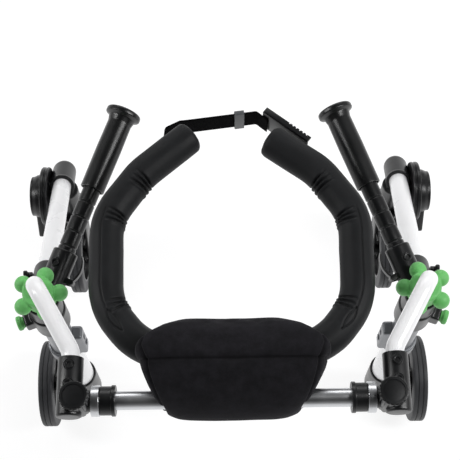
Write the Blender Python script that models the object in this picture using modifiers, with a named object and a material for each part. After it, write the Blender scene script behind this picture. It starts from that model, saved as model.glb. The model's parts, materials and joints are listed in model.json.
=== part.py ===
"""Posterior gait trainer.

A walking frame that stands behind its user. A padded ring and a back pad hold the hips, two round
tubes carry them at the rear corners, and each side has a telescopic post with a rear wheel, a
sloping front leg with a swivel caster, and a hand grip that turns and slides.

Metres, +Z up, +Y the way the user walks, +X the user's right. The right side is modelled, and the
left side is its mirror image.
"""

import math

import bmesh
import bpy
from mathutils import Matrix, Quaternion, Vector

OBJECT_NAME = "posterior_gait_trainer"

# How many sides round shapes have
BIG_SIDES = 16
ROUND_SIDES = 12
SMALL_SIDES = 8

# Fits between pieces
SEAT_GAP = 0.0003
SLIDE_GAP = 0.0004
RUNNING_GAP = 0.0005

# How far a cutter runs past the piece that it cuts
CUT_BEYOND = 0.010

# Broken edges
EDGE = 0.002
FINE_EDGE = 0.001
WIDE_EDGE = 0.003

# Points closer together than this are one point
SAME_POINT = 0.00001

# Where the posts stand, and their housings, which the heights of the upper frame are counted from
POST_X = 0.270
POST_Y = -0.0918
HOUSING_TOP = 0.520
HOUSING_LENGTH = 0.058
HOUSING_FOOT = HOUSING_TOP - HOUSING_LENGTH
HOUSING_RADIUS = 0.027

# Wheels, all four alike
WHEEL_RADIUS = 0.078
TYRE_WIDTH = 0.025
TYRE_DEPTH = 0.018
TYRE_SHOULDER = 0.005
TYRE_SIDES = 28
HUB_HALF_WIDTH = 0.0156
HUB_BOSS_RADIUS = 0.013
RIM_WALL = 0.004
WEB_THICKNESS = 0.007
AXLE_HEIGHT = WHEEL_RADIUS * math.cos(math.pi / TYRE_SIDES)

# Upper frame tubes
FRAME_TUBE_RADIUS = 0.0123
FRAME_TUBE_WALL = 0.002
SIDE_TUBE_X = 0.2135
SIDE_TUBE_ABOVE = 0.120
SIDE_TUBE_HEIGHT = HOUSING_TOP + SIDE_TUBE_ABOVE
SIDE_TUBE_RISE = 0.008
SIDE_TUBE_REAR = 0.180
SIDE_TUBE_BEND_BEHIND = 0.100
SIDE_TUBE_BEND_RADIUS = 0.030
ELBOW_RADIUS = 0.026
SIDE_TUBE_DROP = 0.310
SIDE_TUBE_FOOT = SIDE_TUBE_HEIGHT - SIDE_TUBE_DROP
INDEX_HOLE_RADIUS = 0.0046
INDEX_HOLE_STEP = 0.040
INDEX_HOLES = 4
CROSSBAR_BEHIND = 0.1635
CROSSBAR_Y = POST_Y - CROSSBAR_BEHIND
CROSSBAR_BELOW = 0.010
CROSSBAR_HEIGHT = SIDE_TUBE_HEIGHT - CROSSBAR_BELOW

# Corner fittings
SOCKET_RADIUS = 0.017
SOCKET_FRONT = 0.108
SOCKET_OVERRUN = 0.007
SOCKET_BOLT_RADIUS = 0.006
SOCKET_BOLT_PROUD = 0.0015
SOCKET_BOLT_SUNK = 0.003
SOCKET_BOLT_CHAMFER = 0.001
SOCKET_BOLT_BEHIND = 0.1205
SOCKET_BOLT_PITCH = 0.025
KNUCKLE_RADIUS = 0.0195
KNUCKLE_RIBS = 18
KNUCKLE_RIB_DEPTH = 0.0009
KNUCKLE_HEIGHT = 0.050
KNUCKLE_INSET = 0.008
SLEEVE_RADIUS = 0.019
SLEEVE_LENGTH = 0.0205
SLEEVE_FLOOR = 0.002
SLEEVE_LIP = 0.0015
SLEEVE_LIP_LENGTH = 0.005
NECK_RADIUS = 0.0145
COLLAR_LENGTH = 0.011
COLLAR_RADIUS = 0.0205

# Telescopic post
COLUMN_RADIUS = 0.0205
COLUMN_WALL = 0.0022
COLUMN_SOCKET = 0.0227
COLUMN_TOP = HOUSING_FOOT + COLUMN_SOCKET
OUTER_POST_WALL = 0.0019
OUTER_POST_TOP = 0.317
COLUMN_OVERLAP = 0.055
COLUMN_FOOT = OUTER_POST_TOP - COLUMN_OVERLAP
POST_COLLAR_RADIUS = 0.026
POST_COLLAR_HEIGHT = 0.0277
LATCH_REACH = 0.0355
LATCH_WIDTH = 0.022
LATCH_RISE = 0.083
LATCH_TOP = OUTER_POST_TOP + LATCH_RISE
LATCH_EDGE = 0.004
LATCH_SLOT_BELOW = 0.024
LATCH_SLOT_DEPTH = 0.0025
LATCH_SLOT_RADIUS = 0.004
LATCH_SLOT_LENGTH = 0.014
LATCH_BUTTON_RADIUS = 0.005
LATCH_BUTTON_PROUD = 0.002
LATCH_BUTTON_SUNK = 0.003
LATCH_BUTTON_RISE = 0.030

# Rear wheel carrier
CARRIER_RADIUS = 0.027
CARRIER_FOOT = 0.050
CARRIER_FLOOR = 0.050
OUTER_POST_FOOT = CARRIER_FOOT + CARRIER_FLOOR
CARRIER_SOCKET = 0.050
CARRIER_TOP = OUTER_POST_FOOT + CARRIER_SOCKET
CARRIER_FOOT_EDGE = 0.006
CARRIER_BOSS_RADIUS = 0.017
CARRIER_BOSS_REACH = 0.046
REAR_AXLE_RADIUS = 0.006
REAR_AXLE_CAP_RADIUS = 0.010
REAR_AXLE_CAP_LENGTH = 0.0045

# Spigot at the top of the housing
SPIGOT_RADIUS = 0.0165
SPIGOT_LENGTH = 0.052
SPIGOT_TOP = HOUSING_TOP + SPIGOT_LENGTH

# Front leg
LEG_RADIUS = 0.016
LEG_WALL = 0.002
LEG_ROOT_OUT = 0.013
LEG_ROOT_AHEAD = 0.025
LEG_ROOT_BELOW = 0.033
LEG_ROOT_HEIGHT = HOUSING_TOP - LEG_ROOT_BELOW
LEG_SPLAY = math.radians(3.05)
LUG_RADIUS = 0.0205
LUG_LENGTH = 0.080
LEG_START = 0.030

# Height pin
PIN_BELOW = 0.0205
PIN_HEIGHT = HOUSING_TOP - PIN_BELOW
PIN_YAW = math.radians(-20)
PIN_RADIUS = 0.004
PIN_BLOCK_REACH = 0.0375
PIN_BLOCK_WIDTH = 0.024
PIN_BLOCK_HEIGHT = 0.025
PIN_KNOB_RADIUS = 0.011
PIN_KNOB_LENGTH = 0.011
PIN_KNOB_WAIST = 0.0025

# Wing knob on the leg clamp
WING_ALONG_LUG = 0.063
WING_STUD_RADIUS = 0.003
WING_BOSS_RADIUS = 0.008
WING_THICKNESS = 0.012
WING_LENGTH = 0.030
WING_TIP_RADIUS = 0.0045

# Caster head
CASTER_AHEAD = 0.307
CASTER_INSET = 0.0075
HEAD_RADIUS = 0.021
HEAD_LENGTH = 0.060
HEAD_DOME = 0.012
HEAD_LIP = 0.001
HEAD_LIP_LENGTH = 0.004
LEG_ENTRY = 0.028
BOSS_RADIUS = 0.019
BOSS_ABOVE_WHEEL = 0.027
BOSS_FOOT = 2 * WHEEL_RADIUS + BOSS_ABOVE_WHEEL
HEAD_ABOVE_BOSS = 0.0904
HEAD_MOUTH_HEIGHT = BOSS_FOOT + HEAD_ABOVE_BOSS
STEM_RADIUS = 0.008
STEM_LENGTH = 0.0425
STEM_TOP = BOSS_FOOT + STEM_LENGTH
LOCK_DISC_RADIUS = 0.052
LOCK_DISC_THICKNESS = 0.014
LOCK_DISC_RIBS = 20
LOCK_DISC_RIB_DEPTH = 0.0012
LOCK_DISC_X = 0.3205
LOCK_DISC_BEHIND = 0.008
LOCK_DISC_BELOW = 0.0234
LOCK_DISC_HEIGHT = HEAD_MOUTH_HEIGHT - LOCK_DISC_BELOW
LOCK_STUD_RADIUS = 0.005
LOCK_STUD_LENGTH = 0.010

# Swivel lock lever
DOME_RADIUS = 0.039
DOME_DEPTH = 0.0155
DOME_CAP_RADIUS = 0.035
DOME_CAP_DEPTH = 0.0025
TAIL_LENGTH = 0.079
TAIL_ANGLE = math.radians(47)
TAIL_ROOT_RADIUS = 0.022
TAIL_TIP_RADIUS = 0.007
TAIL_THICKNESS = 0.011
TAIL_LIFT = 0.0015

# Caster fork
TRAIL = 0.050
CROWN_RADIUS = 0.031
CROWN_THICKNESS = 0.0145
CROWN_EDGE = 0.004
BLADE_THICKNESS = 0.005
BLADE_TOP_RADIUS = 0.022
BLADE_TOP_BEHIND = 0.005
BLADE_FOOT_RADIUS = 0.014
FORK_SIDE_GAP = 0.0004
FRONT_AXLE_RADIUS = 0.005
FRONT_AXLE_HEAD_RADIUS = 0.008
FRONT_AXLE_HEAD_LENGTH = 0.0025

# Handles
HANDLE_YAW = math.radians(21.3)
HANDLE_PITCH = math.radians(7.1)
BRACKET_RADIUS = 0.025
BRACKET_HEIGHT = 0.0457
HANDLE_SLEEVE_RADIUS = 0.0185
HANDLE_SLEEVE_END = 0.082
HANDLE_BORE_START = 0.033
HANDLE_BOLT_ALONG = 0.060
HANDLE_BOLT_RADIUS = 0.006
HANDLE_BOLT_PROUD = 0.0012
HANDLE_BOLT_SUNK = 0.0048
HANDLE_BOLT_OUT = 0.004
ROD_RADIUS = 0.01325
ROD_START = 0.036
ROD_GROOVE_PITCH = 0.0235
ROD_GROOVE_DEPTH = 0.0015
ROD_GROOVES = 4
ROD_FIRST_GROOVE = 0.0895
GRIP_START = 0.182
GRIP_LENGTH = 0.130
GRIP_RADIUS = 0.018
FLANGE_RADIUS = 0.0265
FLANGE_THICKNESS = 0.008
FLARE_LENGTH = 0.012
GRIP_SWELL = 0.0005
GRIP_END_WALL = 0.004
TRIGGER_PIVOT_ALONG = 0.041
TRIGGER_PIVOT_OFF = 0.0255
TRIGGER_LENGTH = 0.042
TRIGGER_THICKNESS = 0.0035
TRIGGER_BOW = 0.006
TRIGGER_HEIGHT = 0.010
TRIGGER_BARREL_RADIUS = 0.004
TRIGGER_PIN_RADIUS = 0.002
TRIGGER_EAR_THICKNESS = 0.0028

# Star nuts
STAR_HUB_RADIUS = 0.0225
STAR_ABOVE = 0.080
STAR_TOP = HOUSING_TOP + STAR_ABOVE
STAR_ARM_BELOW = 0.014
STAR_ARM_HEIGHT = STAR_TOP - STAR_ARM_BELOW
STAR_BALL_PITCH = 0.028
STAR_BALL_RADIUS = 0.012
STAR_ARM_RADIUS = 0.0075
STAR_ARMS = 5
STAR_FIRST_ANGLE = math.radians(3.5)

# Hip ring
RING_HEIGHT = CROSSBAR_HEIGHT
RING_PAD_RADIUS = 0.025
RING_FRONT_X = 0.0575
RING_FRONT_AHEAD = 0.217
RING_FRONT_Y = POST_Y + RING_FRONT_AHEAD
RING_SHOULDER_X = 0.125
RING_SHOULDER_AHEAD = 0.163
RING_SHOULDER_Y = POST_Y + RING_SHOULDER_AHEAD
RING_SIDE_X = 0.1735
RING_SIDE_AHEAD = 0.095
RING_SIDE_Y = POST_Y + RING_SIDE_AHEAD
RING_HIP_X = 0.171
RING_HIP_BEHIND = 0.033
RING_HIP_Y = POST_Y - RING_HIP_BEHIND
RING_REAR_X = 0.125
RING_REAR_BEHIND = 0.093
RING_REAR_Y = POST_Y - RING_REAR_BEHIND
RING_BACK_BEHIND = 0.115
RING_BACK_Y = POST_Y - RING_BACK_BEHIND
RING_BENDS = 0.045
RING_CORE_RADIUS = 0.007
RING_CORE_SETBACK = 0.022
RING_END_ROUNDING = 0.014
RING_PAD_REAR_X = 0.119
FOLD_DEPTH = 0.0016
FOLD_PITCH = 0.007
FOLDS = 3
SEAM_DEPTH = 0.0011
PAD_SIDES = 14
PAD_RINGS = 14

# Back pad
PAD_HALF_WIDTH = 0.137
PAD_MIDDLE_AHEAD = 0.050
PAD_MIDDLE_Y = CROSSBAR_Y + PAD_MIDDLE_AHEAD
PAD_MIDDLE_BELOW = 0.005
PAD_MIDDLE_HEIGHT = CROSSBAR_HEIGHT - PAD_MIDDLE_BELOW
PAD_ROUNDING = 3.4
PAD_STATIONS = 9
PAD_SEAM_DEPTH = 0.002
CLAMP_HALF_LENGTH = 0.018
CLAMP_WALL = 0.006
CLAMP_HALF_HEIGHT = 0.0185

# Front strap
STRAP_WIDTH = 0.040
STRAP_THICKNESS = 0.0024
STRAP_BELOW = 0.024
STRAP_HEIGHT = RING_HEIGHT - STRAP_BELOW
STRAP_ENTRY = 0.008
STRAP_START = 0.050
STRAP_LEAVE = 0.012
STRAP_FOLD_AHEAD = 0.010
STRAP_FOLD_OUT = 0.006
STRAP_OFF_PAD = 0.0004
STRAP_BEND = 0.020
STRAP_END_BEND = 0.008
KEEPER_X = 0.0145
KEEPER_LENGTH = 0.0145
KEEPER_WALL = 0.002
KEEPER_EDGE = 0.0008
BUCKLE_LENGTH = 0.080
BUCKLE_DEPTH = 0.0105
BUCKLE_HALF_HEIGHT = 0.022
BUCKLE_BELOW = 0.018
BUCKLE_HEIGHT = RING_HEIGHT - BUCKLE_BELOW
BUCKLE_WALL = 0.003
BUCKLE_OVERHANG = 0.032
BUCKLE_PIN_RADIUS = 0.002
NOTCH_START = 0.010
NOTCH_PITCH = 0.006
NOTCH_WIDTH = 0.0025
NOTCH_DEPTH = 0.004
NOTCHES = 6
LEVER_LENGTH = 0.062
LEVER_THICKNESS = 0.0034
LEVER_BARREL_RADIUS = 0.0034
LEVER_INSET = 0.004
LEVER_EDGE = 0.0008
LEVER_RIB_START = 0.016
LEVER_RIB_PITCH = 0.009
LEVER_RIB_WIDTH = 0.003
LEVER_RIB_HEIGHT = 0.0018
LEVER_RIBS = 5

# Directions that many pieces share
UP = Vector((0, 0, 1))
OUT = Vector((1, 0, 0))
AHEAD = Vector((0, 1, 0))


def empty_scene():
    """Clear the scene, and make one collection for the parts and one for the shapes that cut them."""
    for old in list(bpy.data.objects):
        bpy.data.objects.remove(old, do_unlink=True)
    parts = bpy.data.collections.new(OBJECT_NAME)
    cutters = bpy.data.collections.new("cutters")
    for group in (parts, cutters):
        bpy.context.scene.collection.children.link(group)
    return parts, cutters


PARTS, CUTTERS = empty_scene()


# Places and directions

def by_post(out, ahead, height):
    """A point given from the right post: outboard of it, ahead of it, and above the floor."""
    return Vector((POST_X + out, POST_Y + ahead, height))


def heading(yaw_inward, pitch):
    """The direction of something that points forward, turned inward and tilted up."""
    level = math.cos(pitch)
    return Vector((-math.sin(yaw_inward) * level, math.cos(yaw_inward) * level, math.sin(pitch)))


LEG_ROOT = by_post(LEG_ROOT_OUT, LEG_ROOT_AHEAD, LEG_ROOT_HEIGHT)
LEG_RUN = (CASTER_AHEAD - LEG_ROOT_AHEAD) / math.cos(LEG_SPLAY)
LEG_DROP = math.atan2(LEG_ROOT_HEIGHT - HEAD_MOUTH_HEIGHT, LEG_RUN)
LEG_WAY = heading(-LEG_SPLAY, -LEG_DROP)
LEG_UP = LEG_WAY.cross(OUT).normalized() * -1
LEG_OUT = LEG_UP.cross(LEG_WAY).normalized() * -1
HEAD_MOUTH_ALONG = (CASTER_AHEAD - LEG_ROOT_AHEAD) / LEG_WAY.y
HEAD_MOUTH = LEG_ROOT + LEG_WAY * HEAD_MOUTH_ALONG
STEM = Vector((HEAD_MOUTH.x - CASTER_INSET, POST_Y + CASTER_AHEAD, 0))
HANDLE_WAY = heading(HANDLE_YAW, HANDLE_PITCH)
HANDLE_ROOT = by_post(0, 0, HOUSING_TOP + SEAT_GAP + BRACKET_HEIGHT / 2)
HANDLE_IN = UP.cross(HANDLE_WAY).normalized()
HANDLE_UP = HANDLE_WAY.cross(HANDLE_IN).normalized()
PIN_WAY = Vector((math.cos(PIN_YAW), math.sin(PIN_YAW), 0))
STAR_FOOT = HOUSING_TOP + BRACKET_HEIGHT + 2 * SEAT_GAP
LOCK_CENTRE_Y = STEM.y - LOCK_DISC_BEHIND
LOCK_FACE_X = LOCK_DISC_X + LOCK_DISC_THICKNESS


def frame_of(point, along, upward):
    """A matrix whose X runs along one direction and whose Z is as near as it can be to another."""
    x_axis = Vector(along).normalized()
    y_axis = Vector(upward).cross(x_axis).normalized()
    z_axis = x_axis.cross(y_axis)
    turn = Matrix((x_axis, y_axis, z_axis)).transposed().to_4x4()
    return Matrix.Translation(point) @ turn


def filleted(points, bends, step=math.radians(22.5)):
    """The points of a path with each corner rounded to its bend radius."""
    path = [Vector(points[0])]
    for index in range(1, len(points) - 1):
        corner = Vector(points[index])
        back = (Vector(points[index - 1]) - corner).normalized()
        onward = (Vector(points[index + 1]) - corner).normalized()
        half = back.angle(onward) / 2
        radius = bends[index - 1]
        centre = corner + (back + onward).normalized() * (radius / math.sin(half))
        start = corner + back * (radius / math.tan(half)) - centre
        sweep = math.pi - 2 * half
        axis = back.cross(onward).normalized() * -1
        count = max(1, round(sweep / step))
        for turn in range(count + 1):
            path.append(centre + Quaternion(axis, sweep * turn / count) @ start)
    path.append(Vector(points[-1]))
    return path


# Raw shapes

def guide(name, data, matrix=None):
    """A raw shape, kept out of the part itself."""
    shape = bpy.data.objects.new(name, data)
    CUTTERS.objects.link(shape)
    shape.hide_render = True
    shape.display_type = "WIRE"
    if matrix is not None:
        shape.matrix_world = matrix
    return shape


def mesh_guide(name, built, matrix=None):
    """A raw shape from a finished bmesh."""
    mesh = bpy.data.meshes.new(name)
    built.to_mesh(mesh)
    built.free()
    return guide(name, mesh, matrix)


def as_mesh(curve_shape):
    """Turn a curve into a closed mesh at the same place."""
    bpy.context.view_layer.update()
    graph = bpy.context.evaluated_depsgraph_get()
    mesh = bpy.data.meshes.new_from_object(curve_shape.evaluated_get(graph))
    welded = bmesh.new()
    welded.from_mesh(mesh)
    bmesh.ops.remove_doubles(welded, verts=welded.verts, dist=SAME_POINT)
    welded.to_mesh(mesh)
    welded.free()
    solid = guide(curve_shape.name, mesh, curve_shape.matrix_world.copy())
    bpy.data.objects.remove(curve_shape, do_unlink=True)
    return solid


def upright(point, axis, turn=0.0):
    """A matrix that stands a shape's Z along an axis, and turns the shape about it."""
    stand = Vector(axis).to_track_quat("Z", "Y")
    spin = Quaternion((0, 0, 1), turn)
    return Matrix.Translation(point) @ (stand @ spin).to_matrix().to_4x4()


def cylinder(radius, start, end, sides=ROUND_SIDES):
    """A round bar from one point to another."""
    start, end = Vector(start), Vector(end)
    built = bmesh.new()
    bmesh.ops.create_cone(
        built,
        cap_ends=True,
        segments=sides,
        radius1=radius,
        radius2=radius,
        depth=(end - start).length,
    )
    return mesh_guide("cylinder", built, upright((start + end) / 2, end - start))


def bore(radius, start, end, sides=ROUND_SIDES):
    """A cutter whose flats stand at the radius, so that a round bar of that radius clears it."""
    return cylinder(radius / math.cos(math.pi / sides), start, end, sides)


def block(length, width, height, matrix, edge=0.0):
    """A box about its centre, with its edges broken if a width is given."""
    built = bmesh.new()
    bmesh.ops.create_cube(built, size=1.0)
    bmesh.ops.scale(built, vec=(length, width, height), verts=built.verts)
    if edge:
        bmesh.ops.bevel(
            built, geom=built.edges[:], offset=edge, segments=1, affect="EDGES", profile=0.5,
            material=-1,
        )
    return mesh_guide("block", built, matrix)


def turned(profile, steps, matrix, ring=False):
    """A turned shape. Its profile of radius and height runs down its outer side, and spins about Z."""
    mesh = bpy.data.meshes.new("turned")
    points = [(radius, 0.0, height) for radius, height in profile]
    edges = [(index, index + 1) for index in range(len(points) - 1)]
    if ring:
        edges.append((len(points) - 1, 0))
    mesh.from_pydata(points, edges, [])
    shape = guide("turned", mesh, matrix)
    spin = shape.modifiers.new("spin", "SCREW")
    spin.steps = steps
    spin.render_steps = steps
    spin.use_merge_vertices = True
    spin.merge_threshold = SAME_POINT
    return shape


def pipe(path, radius, sides=12):
    """A round bar along the points of a path."""
    curve = bpy.data.curves.new("pipe", "CURVE")
    curve.dimensions = "3D"
    curve.bevel_depth = radius
    curve.bevel_resolution = (sides - 4) // 2
    curve.use_fill_caps = True
    spline = curve.splines.new("POLY")
    spline.points.add(len(path) - 1)
    for knot, point in zip(spline.points, path):
        knot.co = (*point, 1.0)
    return as_mesh(guide("pipe", curve))


def plate(outline, thickness, matrix):
    """A flat piece: its outline lies in the matrix's XY plane, half its thickness to each side."""
    curve = bpy.data.curves.new("plate", "CURVE")
    curve.dimensions = "2D"
    curve.fill_mode = "BOTH"
    curve.extrude = thickness / 2
    spline = curve.splines.new("POLY")
    spline.points.add(len(outline) - 1)
    for knot, (x, y) in zip(spline.points, outline):
        knot.co = (x, y, 0.0, 1.0)
    spline.use_cyclic_u = True
    return as_mesh(guide("plate", curve, matrix))


def link_outline(length, start_radius, end_radius, steps=4):
    """The outline round two circles, one at the origin and one along X."""
    lean = math.acos((start_radius - end_radius) / length)
    outline = []
    for index in range(steps + 1):
        angle = -lean + 2 * lean * index / steps
        outline.append((length + end_radius * math.cos(angle), end_radius * math.sin(angle)))
    for index in range(steps + 3):
        angle = lean + 2 * (math.pi - lean) * index / (steps + 2)
        outline.append((start_radius * math.cos(angle), start_radius * math.sin(angle)))
    return outline


def ribbed_disc(radius, depth, ribs, thickness, matrix):
    """A disc with ribs round its rim."""
    built = bmesh.new()
    bmesh.ops.create_cone(
        built, cap_ends=True, segments=2 * ribs, radius1=radius, radius2=radius, depth=thickness,
    )
    step = math.pi / ribs
    for vertex in built.verts:
        place = round(math.atan2(vertex.co.y, vertex.co.x) / step)
        if place % 2:
            shrink = (radius - depth) / radius
            vertex.co.x *= shrink
            vertex.co.y *= shrink
    return mesh_guide("ribbed_disc", built, matrix)


def loft(rings, start_tip=None, end_tip=None):
    """A skin over rings of points, closed by flat caps or by a tip."""
    built = bmesh.new()
    rows = [[built.verts.new(point) for point in ring] for ring in rings]
    for row, after in zip(rows, rows[1:]):
        for index in range(len(row)):
            beside = (index + 1) % len(row)
            built.faces.new((row[index], row[beside], after[beside], after[index]))
    for row, tip in ((rows[0], start_tip), (rows[-1], end_tip)):
        if tip is None:
            built.faces.new(row)
            continue
        point = built.verts.new(tip)
        for index in range(len(row)):
            built.faces.new((row[index], row[(index + 1) % len(row)], point))
    bmesh.ops.recalc_face_normals(built, faces=built.faces)
    return mesh_guide("loft", built)


# Finished pieces

MATERIALS = {
    "white_powder_coat": ((0.88, 0.89, 0.90), 0.32, 0.0),
    "grey_powder_coat": ((0.26, 0.27, 0.28), 0.42, 0.0),
    "black_moulding": ((0.030, 0.030, 0.032), 0.42, 0.0),
    "black_rubber": ((0.022, 0.022, 0.023), 0.36, 0.0),
    "grey_tyre": ((0.16, 0.16, 0.165), 0.65, 0.0),
    "green_moulding": ((0.165, 0.44, 0.15), 0.55, 0.0),
    "brushed_aluminium": ((0.72, 0.73, 0.75), 0.34, 1.0),
    "bright_steel": ((0.62, 0.63, 0.65), 0.28, 1.0),
    "charcoal_cover": ((0.040, 0.042, 0.047), 0.62, 0.0),
    "black_suede": ((0.014, 0.014, 0.015), 0.88, 0.0),
    "black_webbing": ((0.020, 0.020, 0.022), 0.80, 0.0),
    "grey_webbing": ((0.20, 0.20, 0.21), 0.75, 0.0),
}


def material(name):
    """The named finish, made the first time that a piece asks for it."""
    found = bpy.data.materials.get(name)
    if found:
        return found
    colour, roughness, metallic = MATERIALS[name]
    made = bpy.data.materials.new(name)
    made.use_nodes = True
    shader = made.node_tree.nodes["Principled BSDF"]
    shader.inputs["Base Color"].default_value = (*colour, 1.0)
    shader.inputs["Roughness"].default_value = roughness
    shader.inputs["Metallic"].default_value = metallic
    made.diffuse_color = (*colour, 1.0)
    return made


def holder(name, point, parent=None):
    """An empty on a joint's axis, which carries the pieces that move with it."""
    empty = bpy.data.objects.new(name, None)
    PARTS.objects.link(empty)
    empty.matrix_world = Matrix.Translation(point)
    if parent:
        hold(empty, parent)
    return empty


def hold(child, parent):
    """Parent an object and leave it where it is."""
    bpy.context.view_layer.update()
    inverse = parent.matrix_world.inverted()
    child.parent = parent
    child.matrix_parent_inverse = inverse
    bpy.context.view_layer.update()


def combine(base, others, operation):
    """Add the other shapes to the base, or take them away, one after another."""
    for other in others:
        change = base.modifiers.new(operation.lower(), "BOOLEAN")
        change.operation = operation
        change.solver = "EXACT"
        change.object = other


def carried(name, mesh, matrix, finish, carrier):
    """Put a finished mesh into the part, with its finish and its carrier."""
    mesh.materials.clear()
    mesh.materials.append(material(finish))
    mesh.shade_smooth()
    mesh.set_sharp_from_angle(angle=math.radians(32))
    piece = bpy.data.objects.new(name, mesh)
    PARTS.objects.link(piece)
    piece.matrix_world = matrix
    hold(piece, carrier)
    return piece


def piece_of(name, finish, carrier, base, add=(), cut=()):
    """One solid piece: a base shape with others fused on and openings cut out."""
    combine(base, add, "UNION")
    combine(base, cut, "DIFFERENCE")
    bpy.context.view_layer.update()
    graph = bpy.context.evaluated_depsgraph_get()
    mesh = bpy.data.meshes.new_from_object(base.evaluated_get(graph))
    tidied = bmesh.new()
    tidied.from_mesh(mesh)
    bmesh.ops.remove_doubles(tidied, verts=tidied.verts, dist=0.000005)
    bmesh.ops.dissolve_degenerate(tidied, dist=0.000005, edges=tidied.edges)
    tidied.to_mesh(mesh)
    tidied.free()
    return carried(name, mesh, base.matrix_world.copy(), finish, carrier)


def left_twin(right, carrier):
    """The left piece is the mirror image of the right one."""
    mesh = right.data.copy()
    mesh.transform(Matrix.Diagonal((-1, 1, 1, 1)) @ right.matrix_world)
    mesh.flip_normals()
    name = right.name.replace("right_", "left_")
    return carried(name, mesh, Matrix.Identity(4), right.data.materials[0].name, carrier)


# Upper frame

def side_tube_path():
    """The side tube: out of the corner fitting, over to the post, and down inside it."""
    rear = Vector((SIDE_TUBE_X, POST_Y - SIDE_TUBE_REAR, SIDE_TUBE_HEIGHT))
    bend = Vector((SIDE_TUBE_X, POST_Y - SIDE_TUBE_BEND_BEHIND, SIDE_TUBE_HEIGHT))
    elbow = by_post(0, 0, SIDE_TUBE_HEIGHT + SIDE_TUBE_RISE)
    foot = by_post(0, 0, SIDE_TUBE_FOOT)
    return filleted((rear, bend, elbow, foot), (SIDE_TUBE_BEND_RADIUS, ELBOW_RADIUS))


def lengthened(path, extra):
    """The same path, run on at both ends."""
    start = path[0] + (path[0] - path[1]).normalized() * extra
    end = path[-1] + (path[-1] - path[-2]).normalized() * extra
    return [start, *path[1:-1], end]


def side_tube(frame):
    """The white tube that slides in the post, with its row of index holes."""
    path = side_tube_path()
    inside = pipe(lengthened(path, SEAT_GAP), FRAME_TUBE_RADIUS - FRAME_TUBE_WALL, 6)
    holes = []
    for index in range(INDEX_HOLES):
        height = PIN_HEIGHT - index * INDEX_HOLE_STEP
        start = by_post(0, 0, height)
        holes.append(cylinder(INDEX_HOLE_RADIUS, start, start + PIN_WAY * HOUSING_RADIUS, 6))
    tube = pipe(path, FRAME_TUBE_RADIUS, SMALL_SIDES)
    return piece_of("right_side_tube", "white_powder_coat", frame, tube, cut=[inside, *holes])


def rear_crossbar(frame):
    """The tube across the back, between the two corner fittings."""
    start = Vector((-crossbar_reach(), CROSSBAR_Y, CROSSBAR_HEIGHT))
    end = Vector((crossbar_reach(), CROSSBAR_Y, CROSSBAR_HEIGHT))
    inside = cylinder(
        FRAME_TUBE_RADIUS - FRAME_TUBE_WALL, start - OUT * CUT_BEYOND, end + OUT * CUT_BEYOND, SMALL_SIDES,
    )
    tube = cylinder(FRAME_TUBE_RADIUS, start, end)
    return piece_of("rear_crossbar", "brushed_aluminium", frame, tube, cut=[inside])


def knuckle_x():
    """How far out the middle of the knuckle lies."""
    return SIDE_TUBE_X - KNUCKLE_INSET


def collar_x():
    """The inner face of the aluminium collar, which sits between the knuckle and the sleeve."""
    return knuckle_x() - KNUCKLE_RADIUS - SEAT_GAP - COLLAR_LENGTH


def sleeve_x():
    """The mouth of the crossbar sleeve."""
    return collar_x() - SEAT_GAP - SLEEVE_LENGTH


def crossbar_reach():
    """Half the crossbar's length, up to the floor of the sleeve."""
    return sleeve_x() + SLEEVE_LENGTH - SLEEVE_FLOOR - SEAT_GAP


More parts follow.
